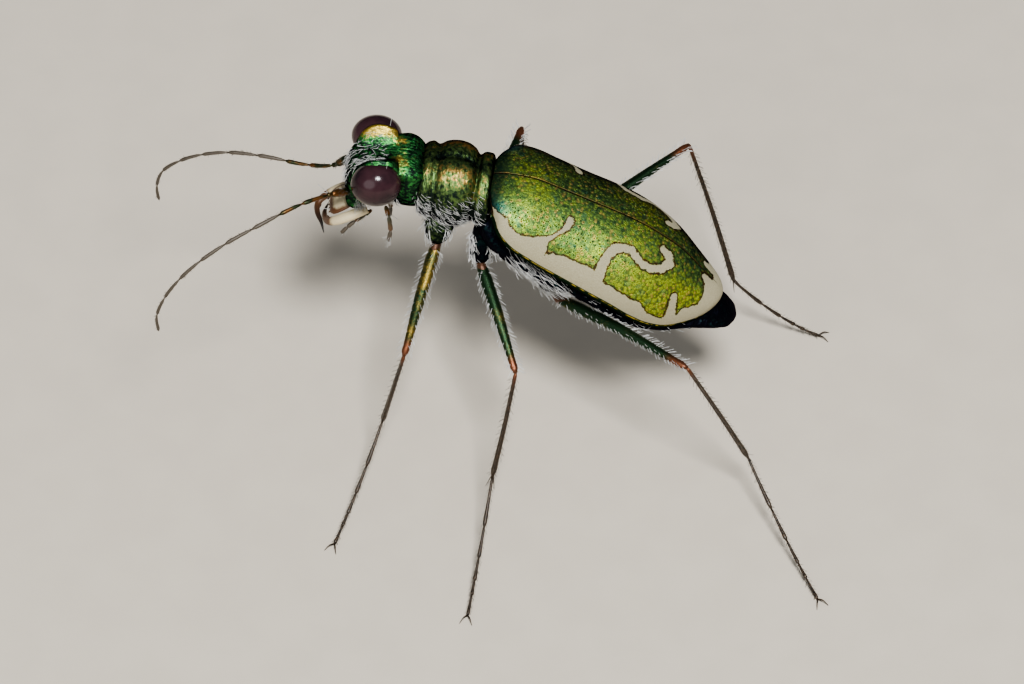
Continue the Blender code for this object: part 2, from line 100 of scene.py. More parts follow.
class Tree:
    def __init__(self, nodeTree):
        self.tree = nodeTree

    def add(self, kind, settings=None, values=None, out=0):
        node = self.tree.nodes.new(kind)
        for key, value in (settings or {}).items():
            setattr(node, key, value)
        for key, value in (values or {}).items():
            if isinstance(value, Flow):
                self.tree.links.new(value.socket, node.inputs[key])
            else:
                node.inputs[key].default_value = value
        return Flow(self, node.outputs[out])

    def mix(self, factor, first, second):
        values = {0: factor}
        for key, colour in ((6, first), (7, second)):
            values[key] = colour if isinstance(colour, Flow) else (*colour, 1.0)
        return self.add("ShaderNodeMix", {"data_type": "RGBA"}, values, 2)

    def attribute(self, name, out=2):
        return self.add("ShaderNodeAttribute", {"attribute_name": name}, out=out)

    def place(self, stretch=(1.0, 1.0, 1.0)):
        # object coordinates in millimetres, stretched
        where = self.add("ShaderNodeTexCoord", out="Object")
        scale = [value / mm for value in stretch]
        return self.add("ShaderNodeMapping", None, {"Vector": where, "Scale": scale})

    def noise(self, where, scale, detail=3.0, rough=0.5):
        values = {"Vector": where, "Scale": scale, "Detail": detail, "Roughness": rough}
        return self.add("ShaderNodeTexNoise", None, values)

    def cells(self, where, scale, out=0):
        return self.add("ShaderNodeTexVoronoi", None, {"Vector": where, "Scale": scale}, out)

    def cellValues(self, where, scale):
        # two random values for each cell
        first = self.add("ShaderNodeSeparateColor", None, {0: self.cells(where, scale, 1)})
        return first, Flow(self, first.socket.node.outputs[1])

    def bump(self, height, depth, strength=1.0):
        # depth in millimetres
        values = {"Height": height, "Distance": depth * mm, "Strength": strength}
        return self.add("ShaderNodeBump", None, values)


def newMaterial(name, fixed=None):
    material = bpy.data.materials.new(name)
    material.use_nodes = True
    tree = Tree(material.node_tree)
    shader = material.node_tree.nodes["Principled BSDF"]
    for key, value in (fixed or {}).items():
        shader.inputs[key].default_value = value
    return material, tree, shader


def feed(tree, shader, **flows):
    names = {"colour": "Base Color", "rough": "Roughness", "metal": "Metallic", "normal": "Normal",
             "coat": "Coat Weight"}
    for key, flow in flows.items():
        tree.tree.links.new(flow.socket, shader.inputs[names[key]])


# Shapes

def smoothRows(rows, at):
    # a cubic through the rows; the first column is the place
    rows = np.array(rows, float)
    places, values = rows[:, 0], rows[:, 1:]
    slopes = np.gradient(values, places, axis=0)
    index = np.clip(np.searchsorted(places, at) - 1, 0, len(places) - 2)
    span = (places[index + 1] - places[index])[:, None]
    t = np.clip((at - places[index])[:, None] / span, 0, 1)
    return ((2 * t ** 3 - 3 * t ** 2 + 1) * values[index] + (t ** 3 - 2 * t ** 2 + t) * span * slopes[index]
            + (3 * t ** 2 - 2 * t ** 3) * values[index + 1] + (t ** 3 - t ** 2) * span * slopes[index + 1])


def smoothPath(points, count):
    # evenly spread points on a cubic through the given ones
    points = np.array(points, float)
    steps = np.r_[0, np.cumsum(np.linalg.norm(np.diff(points, axis=0), axis=1))]
    fine = smoothRows(np.column_stack([steps, points]), np.linspace(0, steps[-1], count * 6))
    walked = np.r_[0, np.cumsum(np.linalg.norm(np.diff(fine, axis=0), axis=1))]
    return pointsAt(fine, np.linspace(0, walked[-1], count), walked)


def pointsAt(path, at, marks=None):
    # places on a path, counted in its own steps unless its marks are given
    marks = np.arange(len(path)) if marks is None else marks
    return np.column_stack([np.interp(at, marks, path[:, axis]) for axis in range(3)])


def bell(values, centre, width):
    return np.exp(-((values - centre) / width) ** 2)


def unit(vectors):
    return vectors / np.maximum(np.linalg.norm(vectors, axis=-1, keepdims=True), 1e-9)


def fromHind(points):
    # hind body frame (along, across, up) to the stance
    along, across, up = points[..., 0], points[..., 1], points[..., 2]
    c, s = math.cos(stance["pitch"]), math.sin(stance["pitch"])
    cz, sz = math.cos(stance["swing"]), math.sin(stance["swing"])
    x, y, z = along * c + up * s, across, up * c - along * s
    return np.stack([x * cz - y * sz, x * sz + y * cz, z], -1) + np.array(stance["base"])


def turnHead(points):
    c, s = math.cos(stance["yaw"]), math.sin(stance["yaw"])
    neck = np.array(stance["neck"])
    x, y, z = np.moveaxis(points - neck, -1, 0)
    return np.stack([x * c - y * s, x * s + y * c, z], -1) + neck


def sections(rows, around, sidePower=0.85, upPower=0.9, waist=1.0):
    # rings across a body: place, level, lean in degrees, half width, rise, drop
    rows = np.array(rows, float)
    place, level, lean, half, rise, drop = (rows[:, i:i + 1] for i in range(6))
    angle = 2 * np.pi * (np.arange(around) + 0.5) / around - np.pi / 2
    side = np.sign(np.cos(angle)) * np.abs(np.cos(angle)) ** sidePower
    up = np.sign(np.sin(angle)) * np.abs(np.sin(angle)) ** upPower
    narrowing = 1 - (1 - waist) * np.clip(up / 0.3, 0, 1)
    height = np.where(up > 0, up * rise, up * drop)
    lean = np.radians(lean)
    return np.stack([
        place + height * np.sin(lean), half * side * narrowing, level + height * np.cos(lean),
    ], -1)


def ringFaces(rows, cols, wrap=True):
    r, c = np.meshgrid(np.arange(rows - 1), np.arange(cols if wrap else cols - 1), indexing="ij")
    after = (c + 1) % cols
    faces = np.stack([r * cols + c, r * cols + after, (r + 1) * cols + after, (r + 1) * cols + c], -1)
    return faces.reshape(-1, 4)


def gridNormals(grid):
    # outward normals of rings, without their ends
    across = np.roll(grid, -1, 1) - np.roll(grid, 1, 1)
    along = np.gradient(grid, axis=0)
    normal = unit(np.cross(along, across))
    outward = grid - grid.mean(1, keepdims=True)
    return normal * np.sign((normal * outward).sum(-1).mean())


class Skin:
    # closed surfaces gathered into one mesh, with a value or two for each point
    def __init__(self):
        self.points, self.faces, self.unwrap, self.values, self.count = [], [], [], {}, 0

    def addFaces(self, points, faces, unwrap, **values):
        volume = 0.0
        for face in (faces[:, [0, 1, 2]], faces[:, [0, 2, 3]]):
            a, b, c = (points[face[:, i]] for i in range(3))
            volume += np.einsum("ij,ij->i", a, np.cross(b, c)).sum()
        if volume < 0:
            faces = faces[:, ::-1]
        self.points.append(points)
        self.unwrap.append(unwrap)
        self.faces.append(faces + self.count)
        self.count += len(points)
        for key, value in values.items():
            self.values.setdefault(key, []).append(np.broadcast_to(value, len(points)).astype(float))

    def addRings(self, rings, **values):
        # both ends closed to a point
        rows, cols = rings.shape[:2]
        points = np.vstack([rings.reshape(-1, 3), rings[0].mean(0), rings[-1].mean(0)])
        first = rows * cols
        c = np.arange(cols)
        after = (c + 1) % cols
        base = (rows - 1) * cols
        start = np.stack([after, c, np.full(cols, first), np.full(cols, first)], -1)
        end = np.stack([base + c, base + after, np.full(cols, first + 1), np.full(cols, first + 1)], -1)
        spread = {}
        for key, value in values.items():
            value = np.broadcast_to(np.asarray(value, float), (rows, cols))
            spread[key] = np.r_[value.ravel(), value[0].mean(), value[-1].mean()]
        along, turn = np.meshgrid((np.arange(rows) + 0.5) / rows, (c + 0.5) / cols, indexing="ij")
        unwrap = np.vstack([np.stack([along.ravel(), turn.ravel()], -1), [(0, 0.5), (1, 0.5)]])
        self.addFaces(points, np.vstack([ringFaces(rows, cols), start, end]), unwrap, **spread)

    def addLimb(self, path, radii, around=14, flat=1.0, squashAxis=(0, 0, 1), **values):
        # a tapering tube; flat under 1 makes it thinner along squashAxis
        path = np.asarray(path, float)
        radii = np.asarray(radii, float)
        tangent = unit(np.gradient(path, axis=0))
        normal = np.array(squashAxis, float)
        rings = []
        angle = 2 * np.pi * np.arange(around) / around
        for point, direction, radius in zip(path, tangent, radii):
            normal = normal - direction * normal.dot(direction)
            normal = normal / max(np.linalg.norm(normal), 1e-9)
            side = np.cross(direction, normal)
            circle = np.outer(np.cos(angle), side) + flat * np.outer(np.sin(angle), normal)
            rings.append(point + radius * circle)
        for key, value in values.items():
            values[key] = np.broadcast_to(np.asarray(value, float), len(path))[:, None]
        self.addRings(np.array(rings), **values)

    def addBall(self, centre, radii, around=40, high=24, turn=None, **values):
        up = np.linspace(-np.pi / 2, np.pi / 2, high + 2)[1:-1, None]
        angle = 2 * np.pi * np.arange(around)[None] / around
        ball = np.stack([np.cos(up) * np.cos(angle), np.cos(up) * np.sin(angle),
                         np.sin(up) + 0 * angle], -1) * radii
        if turn is not None:
            ball = ball @ np.array(turn).T
        self.addRings(ball + np.array(centre), **values)

    def surface(self):
        # points, faces and each point's place on the skin's unwrap, one strip for each part
        count = len(self.unwrap)
        strips = [unwrap * (1, 0.98 / count) + (0, (number + 0.01) / count)
                  for number, unwrap in enumerate(self.unwrap)]
        return np.vstack(self.points), np.vstack(self.faces), np.vstack(strips)

    def build(self, name, material, nodes=()):
        points, faces, unwrap = self.surface()
        mesh = bpy.data.meshes.new(name)
        corners = [list(dict.fromkeys(face)) for face in faces.tolist()]    # end faces name a point twice
        mesh.from_pydata(((points + shift) * mm).tolist(), [], corners)
        for key, parts in self.values.items():
            mesh.attributes.new(key, "FLOAT", "POINT").data.foreach_set("value", np.concatenate(parts))
        mesh.materials.append(material)
        mesh.shade_smooth()
        return register(bpy.data.objects.new(name, mesh), nodes)


def register(piece, nodes=()):
    if piece.name not in bpy.context.scene.collection.objects:
        bpy.context.scene.collection.objects.link(piece)
    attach(piece, "root")
    if nodes:
        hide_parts(*nodes)
    return piece


# Camera, light and floor

studio = {
    "azimuth": math.radians(7), "elevation": math.radians(48.6),
    "target": (0.73, -3.0, 5.68), "distance": 600.0, "width": 30.66, "sensor": 36.0,
    "keyFrom": (0.17, -0.44, 0.88), "keyDistance": 260.0, "keySize": 60.0, "keyPower": 0.95,
    "fillFrom": (-0.35, -0.80, 0.45), "fillDistance": 320.0, "fillSize": 260.0, "fillPower": 0.34,
    "floorSize": 900.0, "floorColour": (0.57, 0.515, 0.43), "sky": (0.66, 0.72, 0.80),
    "farSky": (0.10, 0.12, 0.15), "skyPower": 0.26, "skyBlend": (0.3, 0.95),
}


def aim(obj, start, target):
    obj.location = start
    obj.rotation_euler = (Vector(start) - Vector(target)).to_track_quat("Z", "Y").to_euler()


def stancePoint(point):
    return (np.array(point, float) + shift) * mm


def makeStudio():
    a, e = studio["azimuth"], studio["elevation"]
    back = np.array([math.sin(a) * math.cos(e), -math.cos(a) * math.cos(e), math.sin(e)])
    target = stancePoint(studio["target"])
    lens = bpy.data.cameras.new("camera")
    lens.sensor_width = studio["sensor"]
    lens.lens = studio["sensor"] * studio["distance"] / studio["width"]
    lens.clip_start = 0.01
    lens.clip_end = 10
    camera = bpy.data.objects.new("camera", lens)
    bpy.context.scene.collection.objects.link(camera)
    aim(camera, target + back * studio["distance"] * mm, target)
    bpy.context.scene.camera = camera
    for name in ("key", "fill"):
        lamp = bpy.data.lights.new(name, "AREA")
        lamp.shape = "DISK"
        lamp.size = studio[name + "Size"] * mm
        lamp.energy = studio[name + "Power"]
        light = bpy.data.objects.new(name, lamp)
        bpy.context.scene.collection.objects.link(light)
        start = target + unit(np.array(studio[name + "From"])) * studio[name + "Distance"] * mm
        aim(light, start, target)
    world = bpy.data.worlds.new("studio")
    world.use_nodes = True
    sky = world.node_tree.nodes["Background"]
    tree = Tree(world.node_tree)
    way = tree.add("ShaderNodeSeparateXYZ", None, {0: tree.add("ShaderNodeTexCoord", out="Generated")}, 1)
    colour = tree.mix(way.between(*studio["skyBlend"]), studio["sky"], studio["farSky"])
    tree.tree.links.new(colour.socket, sky.inputs["Color"])
    sky.inputs["Strength"].default_value = studio["skyPower"]
    bpy.context.scene.world = world
    half = studio["floorSize"] * mm / 2
    mesh = bpy.data.meshes.new("floor")
    corners = [(-half, -half, 0), (half, -half, 0), (half, half, 0), (-half, half, 0)]
    mesh.from_pydata(corners, [], [(0, 1, 2, 3)])
    floor = bpy.data.objects.new("floor", mesh)
    bpy.context.scene.collection.objects.link(floor)
    material, tree, shader = newMaterial("paleFloor", {"Roughness": 0.85, "Specular IOR Level": 0.2})
    tint = tree.noise(tree.place(), 0.6, 4).between(0.3, 0.7)
    light = studio["floorColour"]
    feed(tree, shader, colour=tree.mix(tint, [value * 0.96 for value in light], light))
    mesh.materials.append(material)


makeStudio()
print("studio ready")


# Finishes

caseFinish = {
    "deep": (0.040, 0.105, 0.045), "green": (0.285, 0.560, 0.100), "lime": (0.740, 1.000, 0.085),
    "gold": (1.0, 0.78, 0.16), "teal": (0.02, 0.52, 0.42),
    "cream": (0.37, 0.342, 0.235), "creamDark": (0.30, 0.27, 0.175), "border": (0.15, 0.075, 0.025),
    "edgeTint": (0.06, 0.07, 0.10), "depthTint": (0.60, 0.54, 0.74), "grain": 12.0, "fleck": 6.5,
    "grainDepth": 0.045, "edge": 0.014, "borderWidth": 0.055, "metal": 0.92, "rough": 0.45,
    "fine": 34, "mottle": 5, "patch": 1.3, "wobble": ((5, 0.13), (15, 0.11)),
}


def makeCaseMaterial():
    f = caseFinish
    fixed = {"IOR": 1.5, "Specular Tint": (*f["edgeTint"], 1), "Coat IOR": 1.0,
             "Coat Tint": (*f["depthTint"], 1)}
    material, tree, shader = newMaterial("wingCase", fixed)
    where = tree.place()
    band = tree.attribute("band")
    across = tree.attribute("across")
    along = tree.attribute("along")
    grain = tree.cells(where, f["grain"])
    shade, kind = tree.cellValues(where, f["grain"])      # one shade and one kind for each grain
    fleck = tree.cellValues(where, f["fleck"])[0]
    fine = tree.noise(where, f["fine"], 2)
    mottle = tree.noise(where, f["mottle"], 3)
    patch = tree.noise(where, f["patch"], 3)
    edge = band
    for scale, width in f["wobble"]:
        edge = edge + (tree.noise(where, scale, 2) - 0.5) * width
    cream = edge.between(-f["edge"], f["edge"])
    border = (edge + f["borderWidth"]).between(-0.02, 0.02) * (1 - cream)
    level = across.between(0.0, 0.50) * 0.20 + along.between(2.5, 6.3) * 0.42
    level = level + patch * 0.45 + mottle * 0.50 - 0.42
    level = level - (0.50 - across).between(0.0, 0.30) * along.between(4.6, 6.2) * 0.42
    # painted highlight: lighter along the front of the suture
    sutureHighlight = (0.30 - across).between(0.0, 0.2) * (along - 0.3).between(0.0, 0.4)
    sutureHighlight = sutureHighlight * (1.9 - along).between(0.0, 0.7)
    bright = level + sutureHighlight * 0.40 + shade * 0.46 + fleck * 0.12 + fine * 0.25 - 0.28
    green = tree.mix(bright.between(-0.35, 0.35), f["deep"], f["green"])
    green = tree.mix(bright.between(0.10, 0.95), green, f["lime"])
    green = tree.mix((kind - 0.84).between(0.0, 0.08) * 0.55, green, f["gold"])
    green = tree.mix((0.14 - kind).between(0.0, 0.08) * 0.6, green, f["deep"])
    green = tree.mix((0.12 - fleck).between(0.0, 0.06) * 0.12, green, f["teal"])
    # painted teal glint on the outer front of each case, the shoulder
    shoulderGlint = (0.75 - along).between(0.0, 0.6) * (across - 0.30).between(0.0, 0.3)
    green = tree.mix(shoulderGlint * 0.7, green, f["teal"])
    # painted shade: darker at the front end of each case, next to the prothorax
    base = (0.35 - along).between(0.0, 0.3)
    green = tree.mix(base * 0.8, green, f["deep"])
    suture = (0.022 - across).between(0.0, 0.016)
    green = tree.mix(suture * 0.8, green, f["border"])
    green = tree.mix(border * 0.95, green, f["border"])
    pale = tree.mix(fine.between(0.3, 0.75), f["creamDark"], f["cream"])
    colour = tree.mix(cream, green, pale)
    lip = (across - 0.972).between(0.0, 0.008)           # a dark edge with a thin golden line on it
    line = (across - 0.985).between(0.0, 0.008).both((1.02 - across).between(0.0, 0.01))
    line = line * mottle.between(0.42, 0.62) * 0.6
    colour = tree.mix(lip, colour, tree.mix(line, [value * 0.3 for value in f["deep"]], f["gold"]))
    # painted shade: darker in the low parts between the raised grains
    colour = tree.mix(grain.between(0.40, 0.80) * 0.6 * (1 - cream), colour, f["deep"])
    metal = (1 - cream * (1 - lip)) * f["metal"]
    rough = f["rough"] + cream * 0.05 + fine * 0.12
    height = (0.36 - grain).between(0.0, 0.36) * (1 - cream * 0.85) + fine * 0.2
    feed(tree, shader, colour=colour, metal=metal, rough=rough, coat=1 - cream,
         normal=tree.bump(height, f["grainDepth"]))
    return material


shellFinish = {
    "pronotum": {"dark": (0.032, 0.060, 0.036), "mid": (0.22, 0.40, 0.10), "hot": (1.0, 0.68, 0.16)},
    "head": {"dark": (0.030, 0.060, 0.036), "mid": (0.12, 0.58, 0.12), "hot": (1.0, 0.82, 0.13)},
    "under": {"dark": (0.005, 0.006, 0.009), "mid": (0.012, 0.040, 0.030), "hot": (0.050, 0.085, 0.030)},
}


def makeShellMaterial(name, metal=0.92, rough=0.28, scale=10.0, depth=0.03, stretch=(1, 1, 1)):
    # a metallic shell; "glow" goes from dark at 0 over green at 0.5 to gold at 1
    f = shellFinish[name]
    fixed = {"IOR": 1.5, "Metallic": metal, "Specular Tint": (0.06, 0.08, 0.10, 1), "Coat Weight": 1.0,
             "Coat IOR": 1.0, "Coat Tint": (0.62, 0.56, 0.70, 1)}
    material, tree, shader = newMaterial(name + "Shell", fixed)
    where = tree.place()
    glow = tree.attribute("glow")
    patch = tree.noise(where, 1.9, 4)
    mottle = tree.noise(where, 6, 3)
    fine = tree.noise(where, 22, 3)
    shade = tree.cellValues(where, 13)[0]
    wrinkle = tree.noise(tree.place(stretch), scale, 3, 0.6)
    level = glow + (mottle - 0.5) * 0.9 + (patch - 0.5) * 0.5 + (shade - 0.5) * 0.45
    colour = tree.mix(level.between(0.05, 0.55), f["dark"], f["mid"])
    colour = tree.mix(level.between(0.50, 1.00), colour, f["hot"])
    # painted shade: darker in the low parts of the wrinkles
    colour = tree.mix((0.52 - wrinkle).between(0.0, 0.2) * 0.65, colour, f["dark"])
    height = wrinkle * 2 + fine * 0.5
    feed(tree, shader, colour=colour, rough=rough + fine * 0.15, normal=tree.bump(height, depth))
    return material


eyeFinish = {"dark": (0.016, 0.007, 0.010), "light": (0.040, 0.017, 0.021), "facets": 26, "facetDepth": 0.002}


def makeEyeMaterial():
    f = eyeFinish
    material, tree, shader = newMaterial("eyeFacets", {"IOR": 1.5, "Specular IOR Level": 0.32})
    where = tree.place()
    facets = tree.cells(where, f["facets"])
    haze = tree.noise(where, 1.3, 3)
    colour = tree.mix(haze.between(0.35, 0.65), f["dark"], f["light"])
    bump = tree.bump(1 - facets, f["facetDepth"], 0.5)
    feed(tree, shader, colour=colour, rough=0.13 + facets * 0.08, normal=bump)
    return material


legFinish = {
    "green": (0.014, 0.036, 0.015), "gold": (0.38, 0.24, 0.045), "copper": (0.17, 0.062, 0.030),
    "brown": (0.068, 0.042, 0.022), "dark": (0.012, 0.010, 0.007),
}


def makeLegMaterial():
    # "tone": 0 dark green thigh, 1 coppery knee, 2 brown shin and foot; "gilt": how golden the thigh is
    f = legFinish
    material, tree, shader = newMaterial("legShell", {"IOR": 1.55})
    where = tree.place()
    tone = tree.attribute("tone")
    patch = tree.noise(where, 2.2, 3)
    fine = tree.noise(where, 22, 3)
    level = patch * 0.8 + fine * 0.5 + tree.attribute("gilt") - 1.1
    thigh = tree.mix(level.between(0.0, 0.5), f["green"], f["gold"])
    colour = tree.mix(tone.between(0.55, 1.0), thigh, f["copper"])
    shin = tree.mix(fine.between(0.35, 0.7), f["dark"], f["brown"])
    colour = tree.mix(tone.between(1.0, 1.5), colour, shin)
    metal = 0.85 - tone.between(0.9, 1.6) * 0.5
    feed(tree, shader, colour=colour, metal=metal, rough=0.28 + fine * 0.2, normal=tree.bump(fine, 0.012))
    return material


feelerFinish = {"copper": (0.15, 0.065, 0.02), "green": (0.025, 0.035, 0.014), "dull": (0.070, 0.056, 0.040)}


def makeFeelerMaterial():
    # "tone": 0 metallic root joints, 1 dull outer joints
    f = feelerFinish
    material, tree, shader = newMaterial("feelerShell", {"IOR": 1.5})
    where = tree.place()
    tone = tree.attribute("tone")
    fine = tree.noise(where, 26, 3)
    patch = tree.noise(where, 3, 2)
    root = tree.mix(patch.between(0.4, 0.6), f["copper"], f["green"])
    colour = tree.mix(tone.between(0.3, 0.6), root, f["dull"])
    colour = tree.mix(fine.between(0.5, 0.8) * 0.35, colour, f["dull"])
    metal = 0.8 - tone.between(0.2, 0.6) * 0.7
    feed(tree, shader, colour=colour, metal=metal, rough=0.32 + tone * 0.2, normal=tree.bump(fine, 0.008))
    return material


mouthFinish = {"cream": (0.52, 0.44, 0.28), "brown": (0.085, 0.036, 0.014), "black": (0.010, 0.006, 0.004)}


def makeMouthMaterial():
    # "tone": 0 cream, 0.5 brown, 1 black
    f = mouthFinish
    material, tree, shader = newMaterial("mouthHorn", {"IOR": 1.5, "Specular IOR Level": 0.4})
    where = tree.place()
    tone = tree.attribute("tone")
    fine = tree.noise(where, 14, 3)
    shade = tone + (fine - 0.5) * 0.16
    colour = tree.mix(shade.between(0.15, 0.45), f["cream"], f["brown"])
    colour = tree.mix(shade.between(0.6, 0.95), colour, f["black"])
    feed(tree, shader, colour=colour, rough=0.34 + fine * 0.12, normal=tree.bump(fine, 0.010))
    return material


hairFinish = {
    "whiteHair": ((0.34, 0.34, 0.33), (0.66, 0.66, 0.64)),
    "darkHair": ((0.030, 0.022, 0.014), (0.10, 0.075, 0.05)),
}


def makeHairMaterial(name):
    fixed = {"Roughness": 0.55, "IOR": 1.45, "Sheen Weight": 0.3}
    material, tree, shader = newMaterial(name, fixed)
    shade = tree.noise(tree.place(), 4, 2)
    feed(tree, shader, colour=tree.mix(shade.between(0.3, 0.7), *hairFinish[name]))
    return material


finishes = {
    "case": makeCaseMaterial(),
    "pronotum": makeShellMaterial("pronotum", scale=11, depth=0.034, stretch=(1, 0.30, 0.30)),
    "head": makeShellMaterial("head", scale=12, depth=0.026, stretch=(0.28, 1, 0.6)),
    "under": makeShellMaterial("under", metal=0.6, rough=0.32, scale=9, depth=0.02, stretch=(1, 0.5, 0.5)),
    "eye": makeEyeMaterial(),
    "leg": makeLegMaterial(),
    "feeler": makeFeelerMaterial(),
    "mouth": makeMouthMaterial(),
    "whiteHair": makeHairMaterial("whiteHair"),
    "darkHair": makeHairMaterial("darkHair"),
}
print("finishes ready")

surfaces = {}   # name: points, faces and unwrap of each skin, for the hair
sides = {"left": -1, "right": 1}


# Wing cases

wingCase = {
    "rows": [        # along the body: half width, crest level, rim level
        (0.06, 1.36, 0.00, -0.42), (0.46, 1.70, 0.20, -0.56), (0.95, 1.89, 0.38, -0.74),
        (1.80, 1.96, 0.46, -0.90), (2.80, 1.99, 0.52, -1.00), (3.80, 2.04, 0.57, -1.06),
        (4.60, 2.04, 0.56, -1.14), (5.40, 1.96, 0.44, -1.33), (6.10, 1.76, 0.26, -1.50),
        (6.70, 1.48, -0.03, -1.53), (7.15, 1.20, -0.26, -1.38), (7.50, 0.92, -0.42, -1.24),
        (7.75, 0.65, -0.54, -1.10), (7.92, 0.38, -0.66, -0.98),
    ],
    "steps": 210, "arcSteps": 84, "lipSteps": 5, "innerSteps": 22,
    "crowding": 0.06,     # closer rows at both ends
    "overhang": 0.07, "thinnest": 0.3,
    "shell": 0.09, "lip": 0.15, "lipInset": 0.05, "seam": 0.012,
    "frontRound": 0.30, "endRound": 0.12, "frontBow": 0.22, "bowReach": 0.45,
    "cornerPull": 0.28, "pullReach": 0.35,
    "farPull": 0.05,      # the right case's cream is a little narrower
}
bandEdge = [         # the cream rim's inner edge: place along, share across from the suture
    (0.06, 0.74), (0.30, 0.69), (0.60, 0.64), (0.72, 0.71), (1.00, 0.732), (1.35, 0.690),
    (1.75, 0.620), (1.98, 0.600), (2.08, 0.783), (2.30, 0.735), (2.61, 0.700), (3.56, 0.686),
    (3.70, 0.690), (4.05, 0.763), (5.02, 0.786), (5.40, 0.776), (5.83, 0.856), (6.45, 0.873),
    (6.74, 0.790), (6.83, 0.696), (7.18, 0.612), (7.32, 0.502), (7.40, 0.200), (7.50, -0.30),
    (7.92, -0.60),
]
bandStrokes = {      # place along, share across, half width in millimetres
    "humeral": [
        (1.70, 0.70, 0.20), (2.00, 0.58, 0.055), (2.20, 0.48, 0.04), (2.36, 0.39, 0.09), (2.38, 0.32, 0.12),
    ],
    "middle": [
        (3.84, 0.78, 0.20), (3.80, 0.60, 0.15), (3.84, 0.46, 0.13), (3.95, 0.385, 0.13),
        (4.14, 0.355, 0.12),
        (4.45, 0.330, 0.12), (4.68, 0.370, 0.11), (4.97, 0.400, 0.11), (5.31, 0.395, 0.12),
        (5.60, 0.340, 0.14), (5.78, 0.250, 0.15), (5.66, 0.180, 0.14), (5.44, 0.155, 0.11),
    ],
    "prong": [(6.36, 0.56, 0.11), (6.44, 0.66, 0.13), (6.56, 0.80, 0.17), (6.62, 0.92, 0.25)],
    "tail": [(7.60, 0.60, 0.30), (7.52, 0.30, 0.26), (7.34, 0.14, 0.17), (7.12, 0.10, 0.11)],
}


def bandDistance(along, share, arcLength):
    # millimetres inside the cream, negative on the green
    places = np.array([row[0] for row in bandEdge])
    edges = np.array([row[1] for row in bandEdge])
    slope = np.interp(along, (places[1:] + places[:-1]) / 2, np.diff(edges) / np.diff(places))
    best = (share - np.interp(along, places, edges)) * arcLength / np.sqrt(1 + (slope * arcLength) ** 2)
    for stroke in bandStrokes.values():
        for (t0, f0, w0), (t1, f1, w1) in zip(stroke, stroke[1:]):
            dx, dy = t1 - t0, (f1 - f0) * arcLength
            px, py = along - t0, (share - f0) * arcLength
            step = np.clip((px * dx + py * dy) / (dx * dx + dy * dy), 0, 1)
            best = np.maximum(best, w0 + (w1 - w0) * step - np.hypot(px - step * dx, py - step * dy))
    return best


def makeWingCase(side, sign):
    p = wingCase
    rows = np.array(p["rows"])
    step = np.linspace(0, 1, p["steps"])
    step = step - p["crowding"] * np.sin(2 * np.pi * step)
    along = rows[0, 0] + (rows[-1, 0] + p["overhang"] - rows[0, 0]) * step
    half, crest, rim = smoothRows(rows, np.minimum(along, rows[-1, 0])).T
    front = np.sqrt(1 - (1 - np.clip((along - along[0]) / p["frontRound"], 0, 1)) ** 2)
    tail = np.sqrt(1 - np.clip((along - along[-1] + p["endRound"]) / p["endRound"], 0, 1) ** 2 * 0.97)
    half = half * (0.90 + 0.10 * front) * tail
    middle = 0.35 * crest + 0.65 * rim
    crest = middle + (crest - middle) * (0.42 + 0.58 * front) * tail
    rim = middle + (rim - middle) * tail
    share = np.linspace(0, 1, p["arcSteps"])
    angle = share * np.pi / 2
    across = p["seam"] + (half[:, None] - p["seam"]) * np.sin(angle)
    up = rim[:, None] + (crest - rim)[:, None] * np.cos(angle)
    shell = np.minimum(p["shell"], p["thinnest"] * half)[:, None]
    lipDrop = np.minimum(p["lip"], p["thinnest"] * half)[:, None]
    lipShare = np.linspace(0.25, 1, p["lipSteps"])
    lipAcross = half[:, None] - p["lipInset"] * lipShare
    lipUp = rim[:, None] - lipDrop * lipShare
    inner = np.linspace(1, 0, p["innerSteps"]) * np.pi / 2
    innerAcross = p["seam"] + (half[:, None] - shell - p["seam"]) * np.sin(inner)
    innerUp = rim[:, None] - 0.4 * shell + (crest - rim - 0.6 * shell[:, 0])[:, None] * np.cos(inner)
    acrossAll = np.hstack([across, lipAcross, innerAcross])
    upAll = np.hstack([up, lipUp, innerUp])
    bow = p["frontBow"] * bell(along, along[0], p["bowReach"])[:, None]
    pull = p["cornerPull"] * bell(along, along[0], p["pullReach"])[:, None] * (acrossAll / half[:, None]) ** 3
    alongAll = along[:, None] - bow * (1 - (acrossAll / half.max()) ** 2) + pull
    upAll = upAll - bow * 0.5 * (1 - acrossAll / half.max())
    arc = np.linalg.norm(np.diff(np.stack([across, up], -1), axis=1), axis=2).sum(1)[:, None]
    pulled = share - (p["farPull"] if sign > 0 else 0)
    place = along[:, None] + pull[:, :len(share)]
    band = bandDistance(place, np.broadcast_to(pulled, across.shape), arc)
    band = np.hstack([band, np.repeat(band[:, -1:], p["lipSteps"], 1), np.full(innerAcross.shape, -1.0)])
    rowShares = np.r_[share, 1 + 0.15 * lipShare, np.zeros(p["innerSteps"])]
    shares = np.broadcast_to(rowShares, acrossAll.shape)
    rings = fromHind(np.stack([alongAll, sign * acrossAll, upAll], -1))
    skin = Skin()
    skin.addRings(rings, band=band, across=shares, along=alongAll)
    skin.build("wing_case_" + side, finishes["case"], ["elytron_" + side])


for side, sign in sides.items():
    makeWingCase(side, sign)
print("wing cases ready")


# Prothorax

def addHip(skin, sign, route, sizes, glow):
    # the tapering block that carries a front or middle leg
    share = np.linspace(0, 1, 22)
    path = smoothPath(np.array(route) * (1, sign, 1), 22)
    skin.addLimb(path, np.interp(share, [0, 0.4, 0.8, 0.95, 1], sizes), 24, glow=glow)


